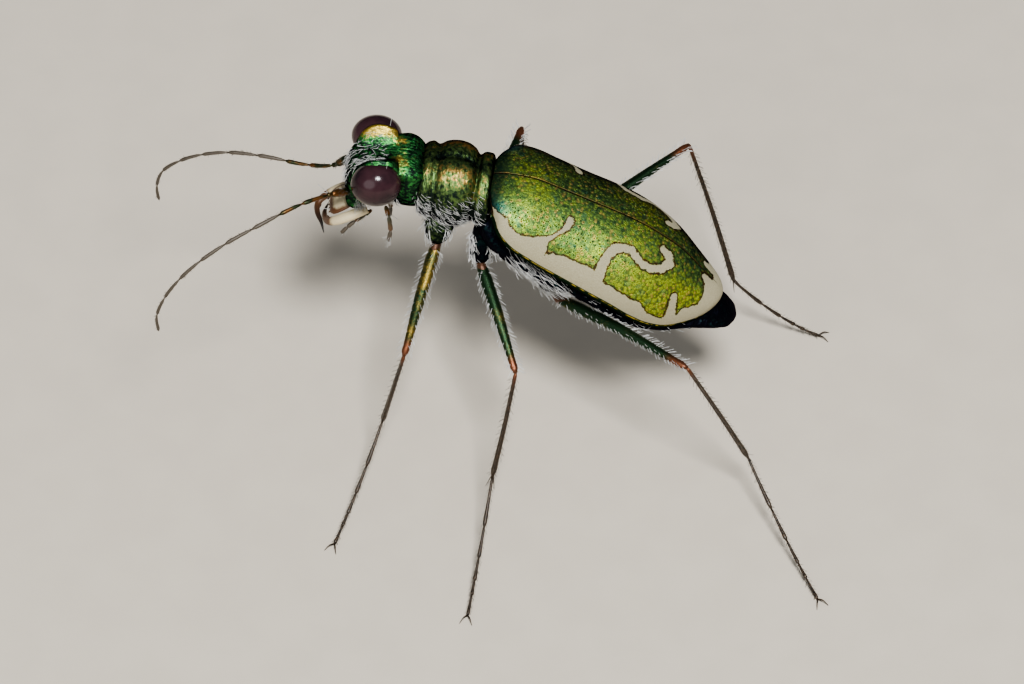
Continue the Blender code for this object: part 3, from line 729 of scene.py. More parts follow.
prothorax = {
    "rows": [        # place, level, lean, half width, rise, drop
        (-2.42, 9.38, 3, 0.78, 0.64, 0.84), (-2.38, 9.37, 3, 0.98, 0.82, 0.98),
        (-2.28, 9.37, 3, 1.07, 0.94, 1.07), (-2.12, 9.36, 4, 1.12, 1.00, 1.12),
        (-1.98, 9.35, 4, 1.06, 0.94, 1.14), (-1.90, 9.34, 5, 1.08, 0.95, 1.16),
        (-1.72, 9.31, 5, 1.18, 1.08, 1.22), (-1.42, 9.27, 6, 1.24, 1.15, 1.24),
        (-1.12, 9.21, 6, 1.21, 1.15, 1.20), (-0.90, 9.16, 6, 1.10, 1.07, 1.10),
        (-0.77, 9.12, 6, 0.98, 0.94, 1.02), (-0.70, 9.10, 5, 0.98, 0.94, 0.99),
        (-0.58, 9.07, 4, 1.06, 1.05, 0.97), (-0.40, 9.04, 2, 1.09, 1.06, 0.95),
        (-0.26, 9.02, 1, 1.05, 1.00, 0.90), (-0.19, 9.01, 0, 0.82, 0.76, 0.68),
    ],
    "steps": 130, "around": 160, "furrow": 0.05, "swell": 0.05,
    "hip": [(-1.72, 0.55, 8.5), (-1.76, 0.62, 8.0), (-1.80, 0.70, 7.6), (-1.81, 0.75, 7.36)],
    "hipSizes": [0.34, 0.46, 0.36, 0.22, 0.05],
}


def makeProthorax():
    p = prothorax
    rows = [(i, *row) for i, row in enumerate(p["rows"])]
    fine = smoothRows(rows, np.linspace(0, len(rows) - 1, p["steps"]))
    rings = sections(fine, p["around"])
    normal = gridNormals(rings)
    x, y, z = np.moveaxis(rings, -1, 0)
    onTop = np.clip((z - fine[:, 1:2]) / 0.5, 0, 1)
    disc = np.clip((x + 1.95) / 0.2, 0, 1) * np.clip((-0.55 - x) / 0.2, 0, 1)
    lift = onTop * (-p["furrow"] * bell(y, 0, 0.07) * disc
                    + p["swell"] * bell(np.abs(y), 0.55, 0.3) * disc * bell(x, -1.25, 0.5))
    rings = rings + normal * lift[..., None]
    collars = bell(x, -0.45, 0.16) + 0.8 * bell(x, -2.12, 0.16)
    glow = onTop * (0.30 + 0.45 * bell(np.abs(y), 0.60, 0.30) * disc
                    + 0.35 * bell(np.abs(y), 0.55, 0.40) * collars)
    glow = glow - 0.25 * bell(y, 0, 0.10) * disc
    skin = Skin()
    skin.addRings(rings, glow=glow)
    for sign in sides.values():
        addHip(skin, sign, p["hip"], p["hipSizes"], 0.15)
    surfaces["prothorax"] = skin.surface()
    skin.build("prothorax_shell", finishes["pronotum"], ["prothorax"])


makeProthorax()
print("prothorax ready")


# Head

head = {
    "rows": [        # place, level, lean, half width below and on top, rise, drop
        (-2.10, 9.46, 0, 0.50, 0.50, 0.44, 0.62), (-2.20, 9.48, 0, 0.72, 0.72, 0.62, 0.82),
        (-2.42, 9.54, 0, 0.90, 0.90, 0.80, 0.98), (-2.70, 9.62, 0, 0.96, 0.96, 0.85, 1.06),
        (-3.02, 9.70, -2, 0.88, 0.90, 0.79, 1.16), (-3.30, 9.76, -4, 0.74, 0.88, 0.72, 1.22),
        (-3.65, 9.77, -10, 0.64, 0.92, 0.67, 1.25), (-3.92, 9.68, -20, 0.60, 0.86, 0.69, 1.20),
        (-4.12, 9.48, -34, 0.62, 0.74, 0.66, 1.04), (-4.26, 9.18, -46, 0.66, 0.68, 0.52, 0.78),
        (-4.36, 8.88, -56, 0.68, 0.66, 0.36, 0.52), (-4.42, 8.64, -62, 0.64, 0.62, 0.24, 0.30),
        (-4.46, 8.50, -64, 0.50, 0.50, 0.10, 0.14),
    ],
    "steps": 150, "around": 176, "plate": 0.44, "plateMiddle": -3.68, "plateReach": 0.64, "plateFrom": 0.22,
    "plateWidth": 0.56, "browLevel": 9.9, "hollow": 0.05, "hollowWidth": 0.32,
}
eye = {"centre": (-3.71, 0.98, 10.07), "radii": (0.76, 0.60, 0.70), "tilt": math.radians(8)}


def makeHead():
    p = head
    rows = [(i, *row) for i, row in enumerate(p["rows"])]
    fine = smoothRows(rows, np.linspace(0, len(rows) - 1, p["steps"]))
    below = sections(np.delete(fine, 4, 1), p["around"], 0.85, 0.8)
    onTop = sections(np.delete(fine, 3, 1), p["around"], 0.40, 0.40)
    angle = 2 * np.pi * (np.arange(p["around"]) + 0.5) / p["around"] - np.pi / 2
    high = np.clip((np.sin(angle) - 0.1) / 0.5, 0, 1)
    rings = below + (onTop - below) * (high * high * (3 - 2 * high))[None, :, None]
    x, y, z = np.moveaxis(rings, -1, 0)
    upper = np.clip((z - p["browLevel"]) / 0.25, 0, 1)
    reach = np.sqrt(np.clip(1 - ((x - p["plateMiddle"]) / p["plateReach"]) ** 2, 0, 1))
    side = np.clip((np.abs(y) - p["plateFrom"]) / p["plateWidth"], 0, 1)
    rise = p["plate"] * reach * side * side * (3 - 2 * side) * upper
    rings = rings + rise[..., None] * np.array([0, 0, 1])
    frons = np.clip((x + 4.3) / 0.3, 0, 1) * np.clip((-3.0 - x) / 0.4, 0, 1)
    dip = p["hollow"] * bell(y, 0, p["hollowWidth"]) * frons * upper
    rings = rings - dip[..., None] * np.array([0, 0, 1])
    plates = 4.5 * np.clip(rise - 0.08, 0, 0.24)
    plates = plates * np.clip((0.70 + 0.12 * np.sign(y) - np.abs(y)) / 0.10, 0, 1)
    glow = 0.12 + 0.14 * upper + plates + 0.58 * upper * bell(x, -3.02, 0.24) * bell(np.abs(y), 0.42, 0.28)
    skin = Skin()
    skin.addRings(turnHead(rings), glow=glow)
    surfaces["head"] = skin.surface()
    skin.build("head_shell", finishes["head"], ["head"])


def makeEye(side, sign):
    e = eye
    tilt = sign * e["tilt"]
    turn = np.array([[1, 0, 0], [0, math.cos(tilt), -math.sin(tilt)], [0, math.sin(tilt), math.cos(tilt)]])
    skin = Skin()
    skin.addBall((0, 0, 0), e["radii"], 80, 60, turn)
    centre = np.array([e["centre"][0], sign * e["centre"][1], e["centre"][2]])
    skin.points[0] = turnHead(skin.points[0] + centre)
    skin.build("compound_eye_" + side, finishes["eye"], ["eye_" + side])


makeHead()
for side, sign in sides.items():
    makeEye(side, sign)
print("head and eyes ready")


# Mouth

mouth = {
    "lipRows": [     # place, level, lean, half width, rise, drop
        (-4.42, 8.54, -42, 0.40, 0.05, 0.06), (-4.54, 8.48, -36, 0.48, 0.08, 0.08),
        (-4.76, 8.36, -33, 0.53, 0.10, 0.08), (-4.96, 8.22, -33, 0.51, 0.09, 0.07),
        (-5.06, 8.14, -36, 0.42, 0.07, 0.05), (-5.11, 8.09, -38, 0.28, 0.03, 0.03),
    ],
    "teeth": [(-0.30, 0.05), (-0.14, 0.05), (0.0, 0.08), (0.14, 0.05), (0.30, 0.05)],
    "left": [
        (-4.00, -0.50, 8.44), (-4.30, -0.62, 8.38), (-4.65, -0.68, 8.24), (-5.00, -0.62, 8.02),
        (-5.22, -0.34, 7.76), (-5.28, 0.10, 7.62), (-5.17, 0.48, 7.62),
    ],
    "right": [
        (-4.00, 0.50, 8.42), (-4.40, 0.68, 8.20), (-4.85, 0.82, 7.88), (-5.24, 0.82, 7.58),
        (-5.48, 0.62, 7.46), (-5.50, 0.28, 7.42), (-5.38, -0.08, 7.36), (-5.30, -0.36, 7.20),
    ],
    "jawRadii": [0.15, 0.165, 0.165, 0.14, 0.10, 0.075, 0.012],
    "jawTeeth": ((22, 0.22), (27, 0.24), (33, 0.20)),     # step along the jaw, length
    "maxillary": [
        (-3.86, -0.38, 8.26), (-4.05, -0.46, 8.13), (-4.33, -0.58, 8.00), (-4.56, -0.66, 7.82),
        (-4.77, -0.70, 7.57),
    ],
    "labial": [(-3.44, -0.30, 8.34), (-3.34, -0.42, 7.92), (-3.30, -0.48, 7.44), (-3.36, -0.50, 6.98)],
    "palps": (           # route, thickness, joint places
        ("maxillary", 0.068, (0, 0.2, 0.5, 0.75, 1)), ("labial", 0.078, (0, 0.25, 0.68, 1)),
    ),
}


def jointed(skin, path, breaks, radii, around=12, neck=0.6, swell=1.0, **tones):
    # a feeler or foot: a chain of joints, each thin at its root and wider at its end
    share = np.linspace(0, 1, 9)
    widths = [neck * 0.8, neck, 0.88, swell, swell * 0.94, 0.4]
    outline = np.interp(share, [0, 0.06, 0.2, 0.8, 0.95, 1], widths)
    for number, (start, end) in enumerate(zip(breaks, breaks[1:])):
        at = start + (end - start) * share
        size = np.interp(at, np.linspace(0, 1, len(radii)), radii)
        values = {key: value[number] for key, value in tones.items()}
        skin.addLimb(pointsAt(path, at * (len(path) - 1)), outline * size, around, **values)


def makeMouth():
    p = mouth
    rows = [(i, *row) for i, row in enumerate(p["lipRows"])]
    fine = smoothRows(rows, np.linspace(0, len(rows) - 1, 40))
    rings = sections(fine, 64, 0.7, 0.8)
    edge = np.clip((np.abs(rings[..., 1]) - 0.30) / 0.20, 0, 1)
    edge = edge + np.clip((-4.90 - rings[..., 0]) / 0.18, 0, 1)
    skin = Skin()
    skin.addRings(turnHead(rings), tone=0.05 + 0.42 * np.clip(edge, 0, 1))
    for across, length in p["teeth"]:
        root = np.array([-5.08, across, 8.11])
        tip = root + np.array([-0.05, 0, -0.04]) - np.array([0.6, 0, 0.5]) * length
        tooth = smoothPath([root + (0.06, 0, 0.04), root, tip], 6)
        skin.addLimb(turnHead(tooth), [0.05, 0.06, 0.055, 0.045, 0.03, 0.008], 10, 0.6, tone=0.7)
    skin.build("upper_lip", finishes["mouth"], ["labrum"])
    for side, sign in sides.items():
        skin = Skin()
        path = smoothPath(p[side], 44)
        share = np.linspace(0, 1, 44)
        radii = np.interp(share, np.linspace(0, 1, 7), p["jawRadii"])
        tone = np.interp(share, [0, 0.40, 0.52, 0.8, 1], [0, 0.04, 0.5, 0.8, 1])
        skin.addLimb(turnHead(path), radii, 20, 0.85, tone=tone)
        inward = unit(np.array([0.30, -sign * 0.9, -0.10]))
        for at, length in p["jawTeeth"]:
            root = path[at]
            tip = root + (inward + (-0.25, 0, -0.05)) * length
            tooth = smoothPath([root, root + inward * length * 0.6, tip], 8)
            tone = np.linspace(0.5, 0.95, 8)
            skin.addLimb(turnHead(tooth), np.linspace(0.075, 0.01, 8), 10, 0.7, tone=tone)
        skin.build("jaw_" + side, finishes["mouth"], ["mandible_" + side])
        for name, size, breaks in p["palps"]:
            node = name + "_palp_" + side
            skin = Skin()
            path = turnHead(smoothPath(np.array(p[name]) * (1, -sign, 1), 40))
            jointed(skin, path, breaks, [size, size, size * 0.9], 14, tone=[0.3, 0.45, 0.6, 0.8])
            surfaces[node] = skin.surface()
            skin.build(name + "_feeler_" + side, finishes["feeler"], [node])


makeMouth()
print("mouth ready")


# Feelers

feeler = {
    "left": [
        (-4.30, -0.66, 9.24), (-4.47, -0.78, 9.30), (-4.98, -1.26, 9.58), (-5.60, -1.70, 9.66),
        (-7.03, -2.70, 9.43), (-7.84, -3.20, 9.16), (-9.13, -4.00, 8.30), (-9.61, -4.25, 7.56),
        (-9.81, -4.35, 6.83), (-9.75, -4.38, 6.29),
    ],
    "right": [
        (-4.34, 0.34, 9.54), (-4.56, 0.40, 9.44), (-5.12, 0.50, 8.94), (-6.03, 0.70, 8.64),
        (-7.07, 0.82, 8.68), (-8.47, 0.95, 8.56), (-9.75, 1.02, 7.97), (-10.36, 1.05, 7.33),
        (-10.53, 1.05, 6.45), (-10.47, 1.05, 6.05),
    ],
    "breaks": [0, 0.095, 0.125, 0.225, 0.315, 0.425, 0.535, 0.64, 0.74, 0.835, 0.92, 1],
    "radii": [0.075, 0.066, 0.060, 0.056, 0.052, 0.048, 0.044],
    "tones": [0, 0.05, 0.15, 0.25, 0.7, 0.85, 0.9, 0.95, 1, 1, 1],
    "scape": 0.135,
}


def makeFeeler(side):
    p = feeler
    path = smoothPath(p[side], 160)
    skin = Skin()
    scape = path[2:18]
    sizes = np.interp(np.linspace(0, 1, 16), [0, 0.15, 0.5, 0.9, 1], [0.6, 0.9, 1, 0.8, 0.35])
    skin.addLimb(scape, p["scape"] * sizes, 14, tone=0.0)
    jointed(skin, path, p["breaks"][1:], p["radii"], 12, 0.55, 1.12, tone=p["tones"][1:])
    surfaces["feeler_" + side] = skin.surface()
    skin.build("feeler_" + side, finishes["feeler"], ["antenna_" + side])


for side in sides:
    makeFeeler(side)
print("feelers ready")


# Hind thorax and abdomen

underBody = {
    "thorax": [      # along, half width, crest, widest level, keel
        (0.10, 0.84, -0.60, -1.10, -1.60), (0.30, 1.14, -0.46, -1.30, -1.90),
        (0.70, 1.40, -0.36, -1.46, -2.16), (1.20, 1.56, -0.30, -1.50, -2.30),
        (2.00, 1.74, -0.26, -1.54, -2.34), (2.80, 1.82, -0.24, -1.60, -2.26),
        (3.40, 1.80, -0.24, -1.62, -2.16), (3.80, 1.40, -0.30, -1.50, -1.90),
    ],
    "abdomen": [
        (3.20, 1.60, -0.30, -1.56, -1.90), (3.60, 1.76, -0.24, -1.60, -2.06),
        (4.30, 1.84, -0.24, -1.62, -2.14), (4.95, 1.84, -0.26, -1.66, -2.18),
        (5.60, 1.78, -0.34, -1.80, -2.20), (6.20, 1.60, -0.62, -1.86, -2.18),
        (6.80, 1.34, -0.90, -1.84, -2.12), (7.30, 1.08, -1.10, -1.70, -2.04),
        (7.90, 0.86, -1.08, -1.54, -1.92), (8.40, 0.62, -1.16, -1.48, -1.80),
        (8.68, 0.36, -1.30, -1.50, -1.72), (8.78, 0.14, -1.42, -1.52, -1.62),
    ],
    "segments": (3.95, 4.75, 5.50, 6.25, 6.95, 7.55), "overlap": 0.045, "plateLength": 0.7,
    "hip": [(-0.30, 0.50, 7.95), (-0.40, 0.66, 7.35), (-0.48, 0.80, 6.98), (-0.49, 0.90, 6.77)],
    "hipSizes": [0.40, 0.46, 0.34, 0.2, 0.05],
    "hindHip": (2.98, 0.84, -2.12), "hindHipSize": (0.50, 0.74, 0.48),
}


def hangingRings(rows, steps, around, cuts=()):
    rows = np.array(rows, float)
    along = np.linspace(rows[0, 0], rows[-1, 0], steps)
    half, crest, widest, keel = smoothRows(rows, along).T
    for cut in cuts:                                     # each belly plate laps over the next
        length = underBody["plateLength"]
        share = np.where((along < cut) & (along > cut - length), 1 - (cut - along) / length, 0)
        step = underBody["overlap"] * share
        half, keel = half + step * 0.6, keel - step
    table = np.column_stack([along, widest, 0 * along, half, crest - widest, widest - keel])
    return sections(table, around, 0.85, 0.9, 0.80)


def makeUnderBody():
    p = underBody
    skin = Skin()
    skin.addRings(fromHind(hangingRings(p["thorax"], 90, 120)), glow=0.10)
    c, s = math.cos(stance["pitch"]), math.sin(stance["pitch"])
    turn = np.array([[c, 0, s], [0, 1, 0], [-s, 0, c]])
    for sign in sides.values():
        addHip(skin, sign, p["hip"], p["hipSizes"], 0.2)
        centre = fromHind(np.array(p["hindHip"]) * (1, sign, 1))
        skin.addBall(centre, p["hindHipSize"], 48, 30, turn, glow=0.3)
    surfaces["thorax"] = skin.surface()
    skin.build("hind_thorax_shell", finishes["under"], ["thorax"])
    skin = Skin()
    skin.addRings(fromHind(hangingRings(p["abdomen"], 220, 120, p["segments"])), glow=0.0)
    surfaces["abdomen"] = skin.surface()
    skin.build("abdomen_shell", finishes["under"], ["abdomen"])


makeUnderBody()
print("under body ready")


# Legs

leg = {
    "joints": {      # hip, knee, ankle, toe
        "front_left": ((-1.81, -0.75, 7.36), (-2.48, -3.43, 5.08), (-3.15, -3.35, 1.96), (-4.18, -6.76, 0.07)),
        "middle_left": ((-0.49, -0.90, 6.77), (0.94, -3.80, 5.20), (0.41, -5.21, 2.04), (0.14, -9.08, 0.07)),
        "hind_left": ((1.85, -1.30, 5.96), (6.09, -3.67, 6.00), (7.92, -3.41, 1.90), (10.47, -7.17, 0.07)),
        "front_right": ((-1.81, 0.75, 7.36), (-2.00, 3.80, 5.90), (-2.40, 5.20, 3.20), (-2.60, 7.60, 0.07)),
        "middle_right": ((-0.49, 0.90, 6.77), (0.15, 4.20, 7.27), (0.10, 4.70, 3.80), (0.20, 6.60, 0.07)),
        "hind_right": ((1.85, 1.30, 5.96), (5.15, 4.83, 6.47), (6.73, 3.21, 2.30), (9.30, 3.30, 0.07)),
    },
    "thighShape": ([0, 0.04, 0.15, 0.45, 0.75, 0.90, 0.96, 1], [0.5, 0.8, 1, 0.92, 0.68, 0.56, 0.6, 0.3]),
    "thighRadius": 0.20,
    "shinShape": ([0, 0.03, 0.08, 0.4, 0.85, 0.95, 1], [0.5, 0.8, 0.78, 0.9, 1.05, 1.2, 0.6]),
    "shinRadius": 0.076, "gilt": {"front": 0.60, "middle": 0.42, "hind": 0.40},
    "ringRadius": 0.16, "footShares": (0.0, 0.34, 0.56, 0.73, 0.84, 1.0), "footRadius": 0.056,
    "footShape": ([0, 0.08, 0.5, 0.9, 1], [0.55, 0.7, 0.85, 1.2, 0.5]), "sag": 0.10, "footLevel": 0.07,
    "clawLength": 0.38, "clawSpread": math.radians(30), "clawLevels": (0.13, 0.02), "spurLength": 0.50,
}


def legLines(name):
    # centre lines of one leg, bent a little as in life
    hip, knee, ankle, toe = (np.array(point) for point in leg["joints"][name])
    thigh = smoothPath([hip, hip * 0.5 + knee * 0.5 + (0, 0, 0.10), knee], 40)
    shin = smoothPath([knee, (knee + ankle) / 2 + unit(knee - hip) * 0.04, ankle], 34)
    share = np.linspace(0, 1, 60)
    foot = ankle + (toe - ankle) * share[:, None]
    foot[:, 2] -= leg["sag"] * 4 * share * (1 - share) * ankle[2]
    foot[:, 2] = np.maximum(foot[:, 2], leg["footLevel"])
    return thigh, shin, foot


def makeLeg(name):
    p = leg
    thigh, shin, foot = legLines(name)
    skin = Skin()
    share = np.linspace(0, 1, 40)
    along = unit(thigh[-1] - thigh[0])
    start = thigh[0] - along * 0.10                       # the small ring between hip and thigh
    sizes = np.interp(np.linspace(0, 1, 14), [0, 0.2, 0.5, 0.85, 1], [0.3, 0.9, 1, 0.85, 0.3])
    skin.addLimb(smoothPath([start, thigh[2], thigh[5]], 14), p["ringRadius"] * sizes, 20, tone=1.3, gilt=0)
    radii = p["thighRadius"] * np.interp(share, *p["thighShape"])
    skin.addLimb(thigh, radii, 22, 0.82, tone=np.interp(share, [0, 0.72, 0.92, 1], [0, 0.1, 1, 1.2]),
                 gilt=p["gilt"][name.split("_")[0]])
    share = np.linspace(0, 1, 34)
    radii = p["shinRadius"] * np.interp(share, *p["shinShape"])
    skin.addLimb(shin, radii, 16, tone=np.interp(share, [0, 0.08, 0.2, 1], [1.1, 1.3, 1.6, 2.0]), gilt=0)
    share = np.linspace(0, 1, 12)
    shape = np.interp(share, *p["footShape"])
    for number, (low, high) in enumerate(zip(p["footShares"], p["footShares"][1:])):
        points = pointsAt(foot, (low + (high - low) * share) * (len(foot) - 1))
        skin.addLimb(points, p["footRadius"] * shape * (1 - 0.04 * number), 12, tone=2.0, gilt=0)
    flat = unit((foot[-1] - foot[-8]) * (1, 1, 0))
    across = np.cross(flat, (0, 0, 1))
    for sign in sides.values():
        aimed = flat * math.cos(p["clawSpread"]) + across * sign * math.sin(p["clawSpread"])
        tip = foot[-1] + aimed * p["clawLength"]
        crown = foot[-1] + aimed * p["clawLength"] * 0.5
        crown[2], tip[2] = p["clawLevels"]
        claw = smoothPath([foot[-1], crown, tip], 14)
        skin.addLimb(claw, np.linspace(0.030, 0.008, 14), 8, tone=1.5, gilt=0)
    end = unit(shin[-1] - shin[-6])
    side = unit(np.cross(end, (0, 0, 1)))
    for sign in sides.values():                           # two spurs at the end of the shin
        aimed = unit(end * 0.86 + side * sign * 0.34 + unit(foot[4] - foot[0]) * 0.25)
        spur = smoothPath([shin[-2], shin[-2] + aimed * 0.3, shin[-2] + aimed * p["spurLength"]], 8)
        skin.addLimb(spur, np.linspace(0.024, 0.006, 8), 7, tone=1.6, gilt=0)
    surfaces["leg_" + name] = skin.surface()
    skin.build("leg_" + name, finishes["leg"], ["femur_" + name, "tibia_" + name, "tarsus_" + name])


for name in leg["joints"]:
    makeLeg(name)
print("legs ready")


# Hair and bristles

hair = {"sides": 3, "points": 4, "taper": 0.85, "seed": 11, "patch": 0.003, "sunk": 0.01}


def makeBristleTree():
    # one tapering hair on each point, turned, sized and bent by the point's own values
    group = bpy.data.node_groups.new("bristles", "GeometryNodeTree")
    kinds = {"Geometry": "Geometry", "Sides": "Int", "Taper": "Float", "Material": "Material"}
    for name, kind in kinds.items():
        group.interface.new_socket(name, in_out="INPUT", socket_type="NodeSocket" + kind)
    group.interface.new_socket("Geometry", in_out="OUTPUT", socket_type="NodeSocketGeometry")
    tree = Tree(group)
    given = group.nodes.new("NodeGroupInput")
    points, sides, taper, material = (Flow(tree, given.outputs[i]) for i in range(4))

    def named(name, kind="FLOAT"):
        return tree.add("GeometryNodeInputNamedAttribute", {"data_type": kind}, {"Name": name})

    def store(geometry, name, value, **settings):
        values = {"Geometry": geometry, "Name": name, "Value": value}
        return tree.add("GeometryNodeStoreNamedAttribute", settings, values)

    step = (0, 0, 1 / (hair["points"] - 1))
    line = tree.add("GeometryNodeMeshLine", None, {"Count": hair["points"], "Offset": step})
    height = tree.add("ShaderNodeSeparateXYZ", None, {0: tree.add("GeometryNodeInputPosition")}, 2)
    line = store(line, "height", height)
    curve = tree.add("GeometryNodeMeshToCurve", None, {0: line})
    width = 1 - taper * named("height") * named("height")
    curve = tree.add("GeometryNodeSetCurveRadius", None, {"Curve": curve, "Radius": width})
    ring = tree.add("GeometryNodeCurvePrimitiveCircle", None, {"Resolution": sides, "Radius": 1.0})
    ring = store(ring, "around", tree.add("GeometryNodeInputIndex") / (sides - 1))
    strand = tree.add("GeometryNodeCurveToMesh", None, {0: curve, 1: ring, "Fill Caps": True})
    way = named("lie", "FLOAT_VECTOR")
    turn = tree.add("FunctionNodeAlignRotationToVector", {"axis": "Z"}, {"Vector": way})
    size = tree.add("ShaderNodeCombineXYZ", None, {0: named("thick"), 1: named("thick"), 2: named("long")})
    placed = tree.add("GeometryNodeInstanceOnPoints", None,
                      {"Points": points, "Instance": strand, "Rotation": turn, "Scale": size})
    whole = tree.add("GeometryNodeRealizeInstances", None, {0: placed})
    bend = tree.add("ShaderNodeVectorMath", {"operation": "SCALE"},
                    {0: named("droop", "FLOAT_VECTOR"), "Scale": named("height") * named("height")})
    whole = tree.add("GeometryNodeSetPosition", None, {"Geometry": whole, "Offset": bend})
    corner = {0: named("height") * hair["patch"], 1: named("around") * hair["patch"]}
    patch = tree.add("ShaderNodeCombineXYZ", None, corner)
    root = named("root", "FLOAT_VECTOR")
    place = tree.add("ShaderNodeVectorMath", {"operation": "ADD"}, {0: root, 1: patch})
    whole = store(whole, "OFBake", place, data_type="FLOAT2", domain="CORNER")
    whole = tree.add("GeometryNodeSetMaterial", None, {"Geometry": whole, "Material": material})
    group.links.new(whole.socket, group.nodes.new("NodeGroupOutput").inputs[0])
    return group


bristleTree = makeBristleTree()
rng = np.random.default_rng(hair["seed"])
coats = {}      # name: rows of hairs, gathered before each coat is grown


def addHairs(coat, points, lies, long, thick, droop, unwrap):
    count = len(points)
    roots = np.column_stack([unwrap * (1 - hair["patch"]), np.zeros(count)])
    rows = {"points": points, "lie": unit(np.array(lies, float)), "long": long, "thick": thick,
            "droop": droop, "root": roots}
    for key, value in rows.items():
        shape = count if key in ("long", "thick") else (count, 3)
        value = np.array(np.broadcast_to(value, shape), float)
        coats.setdefault(coat, {}).setdefault(key, []).append(value)


def scatter(skin, keep, count, flow, long, thick, raised=0.4, droop=0.25, spread=0.25, coat="white_hair"):
    # hairs on the faces that keep() accepts, lying along flow and raised off the skin
    points, faces, unwrap = surfaces[skin]
    a, b, c, d = (points[faces[:, i]] for i in range(4))
    normal = np.cross(c - a, d - b)
    area = np.linalg.norm(normal, axis=1)
    x, y, z = ((a + b + c + d) / 4).T
    share = np.where(area > 1e-7, keep(x, y, z) * area, 0)
    chosen = rng.choice(len(faces), count, p=share / share.sum())
    u, v = rng.random((2, count, 1))
    at = (a[chosen] * (1 - u) + b[chosen] * u) * (1 - v) + (d[chosen] * (1 - u) + c[chosen] * u) * v
    up = unit(normal[chosen])
    lie = np.broadcast_to(np.array(flow, float), at.shape)
    lie = unit(lie - up * (lie * up).sum(1, keepdims=True))
    lie = unit(lie + up * raised + rng.normal(0, spread, at.shape))
    lengths = long * rng.uniform(0.7, 1.2, count)
    addHairs(coat, at - up * hair["sunk"], lie, lengths, thick * rng.uniform(0.8, 1.15, count),
             (-up * droop + rng.normal(0, 0.06, at.shape)) * lengths[:, None], unwrap[faces[chosen, 0]])


def growCoat(name, finish):
    rows = {key: np.concatenate(value) for key, value in coats[name].items()}
    mesh = bpy.data.meshes.new(name + "_roots")
    mesh.from_pydata(((rows["points"] + shift) * mm).tolist(), [], [])
    for key in ("lie", "droop", "root", "long", "thick"):
        values = rows[key] * (mm if key in ("droop", "long", "thick") else 1)
        kind, field = ("FLOAT_VECTOR", "vector") if values.ndim > 1 else ("FLOAT", "value")
        mesh.attributes.new(key, kind, "POINT").data.foreach_set(field, values.ravel())
    roots = bpy.data.objects.new(name + "_roots", mesh)
    bpy.context.scene.collection.objects.link(roots)
    grow = roots.modifiers.new("grow", "NODES")
    grow.node_group = bristleTree
    inputs = {"Sides": hair["sides"], "Taper": hair["taper"], "Material": finish}
    for item in bristleTree.interface.items_tree:
        if item.in_out == "INPUT" and item.name in inputs:
            grow[item.identifier] = inputs[item.name]
    grown = bpy.data.meshes.new_from_object(roots.evaluated_get(bpy.context.evaluated_depsgraph_get()))
    bpy.data.objects.remove(roots)
    grown.name = name
    for spare in ("lie", "droop", "root", "long", "thick", "height", "around"):
        if spare in grown.attributes:
            grown.attributes.remove(grown.attributes[spare])
    register(bpy.data.objects.new(name, grown))
    triangles = sum(len(face.vertices) - 2 for face in grown.polygons)
    print(name, len(rows["points"]), "hairs,", triangles, "triangles")


combs = [     # thigh, shin, foot: gap, length, thickness, coat, first and last place, radius, angles
    (0.090, 0.27, 0.0090, "white_hair", (0.10, 0.97), 0.16, (8, 172, 30, 150)),
    (0.10, 0.17, 0.0065, "dark_bristles", (0.06, 0.97), 0.08, (20, 160, 90, -30, 210)),
    (0.10, 0.11, 0.0060, "dark_bristles", (0.03, 0.97), 0.05, (20, 160, 90, -30, 210)),
]


def combRows(name):
    # stiff hairs in rows along one leg
    for line, row in zip(legLines(name), combs):
        gap, long, thick, coat, (first, last), radius, angles = row
        length = np.linalg.norm(np.diff(line, axis=0), axis=1).sum()
        axis = unit(line[-1] - line[0])
        level = unit(np.cross(axis, (0, 0, 1)))
        over = np.cross(level, axis)
        for number, angle in enumerate(angles):
            step = gap if number < 2 else gap * 2.2       # the first two rows are the dense ones
            count = int(length * (last - first) / step)
            at = np.linspace(first, last, count) + rng.normal(0, 0.006, count)
            index = np.clip(at, 0, 1) * (len(line) - 1)
            points = pointsAt(line, index)
            turn = np.radians(angle + rng.normal(0, 7, count))[:, None]
            out = np.cos(turn) * level + np.sin(turn) * over
            wide = radius * (1 - 0.45 * at[:, None])
            lies = out * 0.8 + axis * 0.75 + rng.normal(0, 0.10, (count, 3))
            size = long * rng.uniform(0.75, 1.15, count)
            unwrap = np.column_stack([at, np.full(count, (angle % 360) / 360)])
            addHairs(coat, points + out * wide * 0.8, lies, size, thick, axis * size[:, None] * 0.12, unwrap)


longHairs = [     # single long hairs: root, way, length
    ((-4.98, -1.20, 9.56), (-0.42, -0.10, 0.62), 0.62), ((-4.55, -0.85, 9.40), (-0.30, -0.30, 0.50), 0.34),
    ((-5.16, 0.50, 8.96), (-0.25, 0.0, 0.60), 0.34), ((-3.30, -0.98, 10.62), (0.10, -0.30, 0.90), 0.36),
    ((-3.40, 0.70, 10.66), (0.10, 0.25, 0.90), 0.36), ((-5.02, -0.55, 8.16), (-0.85, -0.10, 0.10), 0.36),
    ((-5.06, 0.05, 8.16), (-0.90, 0.05, 0.10), 0.36),
]


def everywhere(x, y, z):
    return np.ones(len(x))


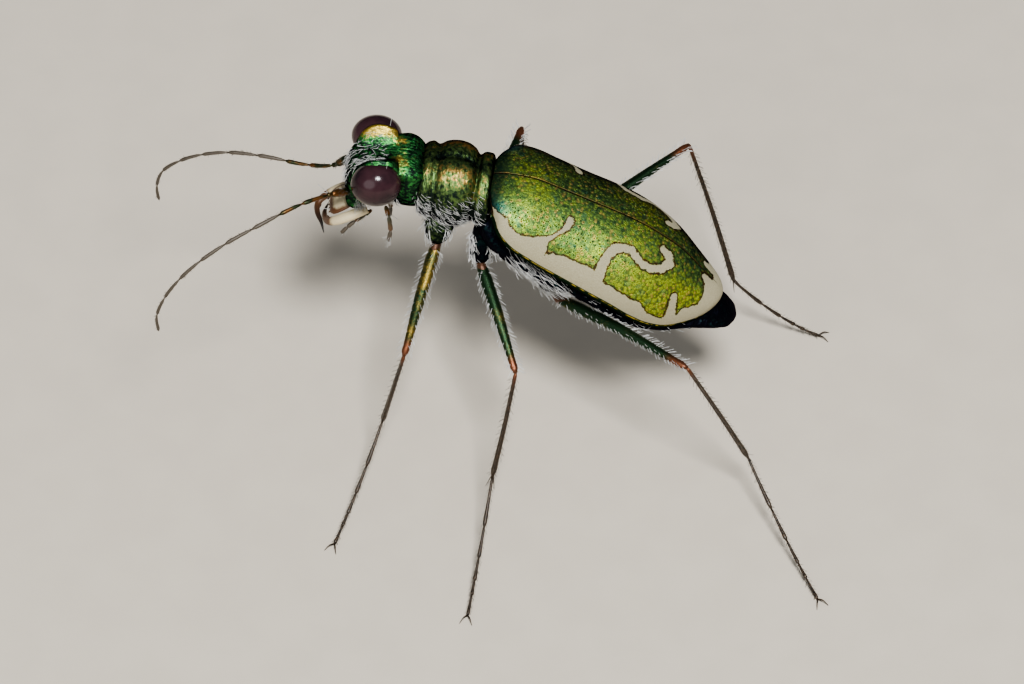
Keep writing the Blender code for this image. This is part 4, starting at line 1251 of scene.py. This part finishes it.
def placeHair():
    for side, sign in sides.items():
        scatter("prothorax", lambda x, y, z: (y * sign > 0.5) * np.clip((9.80 - z) / 0.4, 0, 1)
                * (z > 8.2) * (x < -0.45),
                800, (0.75, sign * 0.2, -0.40), 0.24, 0.0052, 0.18, 0.25, 0.30)
        scatter("prothorax", lambda x, y, z: (y * sign > 0.3) * (z < 8.25) * (np.abs(x + 1.78) > 0.22),
                150, (0.1, sign * 0.4, -0.8), 0.30, 0.0075, 0.45, 0.2, 0.25)
        scatter("thorax", lambda x, y, z: (y * sign > 0.5) * (x < 0.1) * (z < 7.9)
                * (np.abs(x + 0.42) > 0.20),
                380, (0.3, sign * 0.5, -0.7), 0.28, 0.0090, 0.35, 0.2, 0.25)
        scatter("thorax", lambda x, y, z: (y * sign > 0.9) * (x >= 0.3) * (z < 8.9) * (x < 2.2),
                950, (0.80, sign * 0.25, -0.60), 0.46, 0.0062, 0.35, 0.3, 0.20)
        scatter("abdomen", lambda x, y, z: (y * sign > 0.75) * (z < 7.6) * (x < 5.6),
                600, (0.85, sign * 0.1, -0.50), 0.28, 0.0060, 0.22, 0.25, 0.22)
        scatter("head", lambda x, y, z: (np.abs(y - sign * 0.62 + 0.12) < 0.32) * (z < 9.3)
                * (x > -4.3) * (x < -3.0),
                230, (0.2, sign * 0.2, -0.9), 0.30, 0.0070, 0.45, 0.2, 0.22)
        for node in ("maxillary_palp_", "labial_palp_"):
            scatter(node + side, everywhere, 18, (-0.3, sign * 0.2, -0.9), 0.24, 0.0055, 0.9, 0.1, 0.3)
    scatter("head", lambda x, y, z: (z > 9.2) * (x < -3.30) * (x > -4.75) * (np.abs(y + 0.17) < 0.58),
            330, (-0.75, -0.35, -0.25), 0.25, 0.0078, 0.16, 0.25, 0.42)
    scatter("thorax", lambda x, y, z: (np.abs(y) < 1.0) * (z < 7.6), 260, (0.8, 0, -0.3), 0.26, 0.0065)
    for side in sides:
        scatter("feeler_" + side, everywhere, 330, (-0.8, 0, -0.4), 0.075, 0.0045, 1.0, 0.05, 0.4,
                "dark_bristles")
    for name, joints in leg["joints"].items():
        combRows(name)
        hip = joints[0]
        scatter("leg_" + name, lambda x, y, z: np.hypot(np.hypot(x - hip[0], y - hip[1]), z - hip[2]) < 0.45,
                20, (0, 0, -1), 0.24, 0.0065, 0.8)
    for start, way, length in longHairs:
        addHairs("white_hair", np.array([start]), [way], length, 0.010, (0, 0, -0.04), np.array([[0.5, 0.5]]))


placeHair()
growCoat("white_hair", finishes["whiteHair"])
growCoat("dark_bristles", finishes["darkHair"])
print("hair ready")

bpy.context.scene.view_settings.look = "AgX - Medium High Contrast"
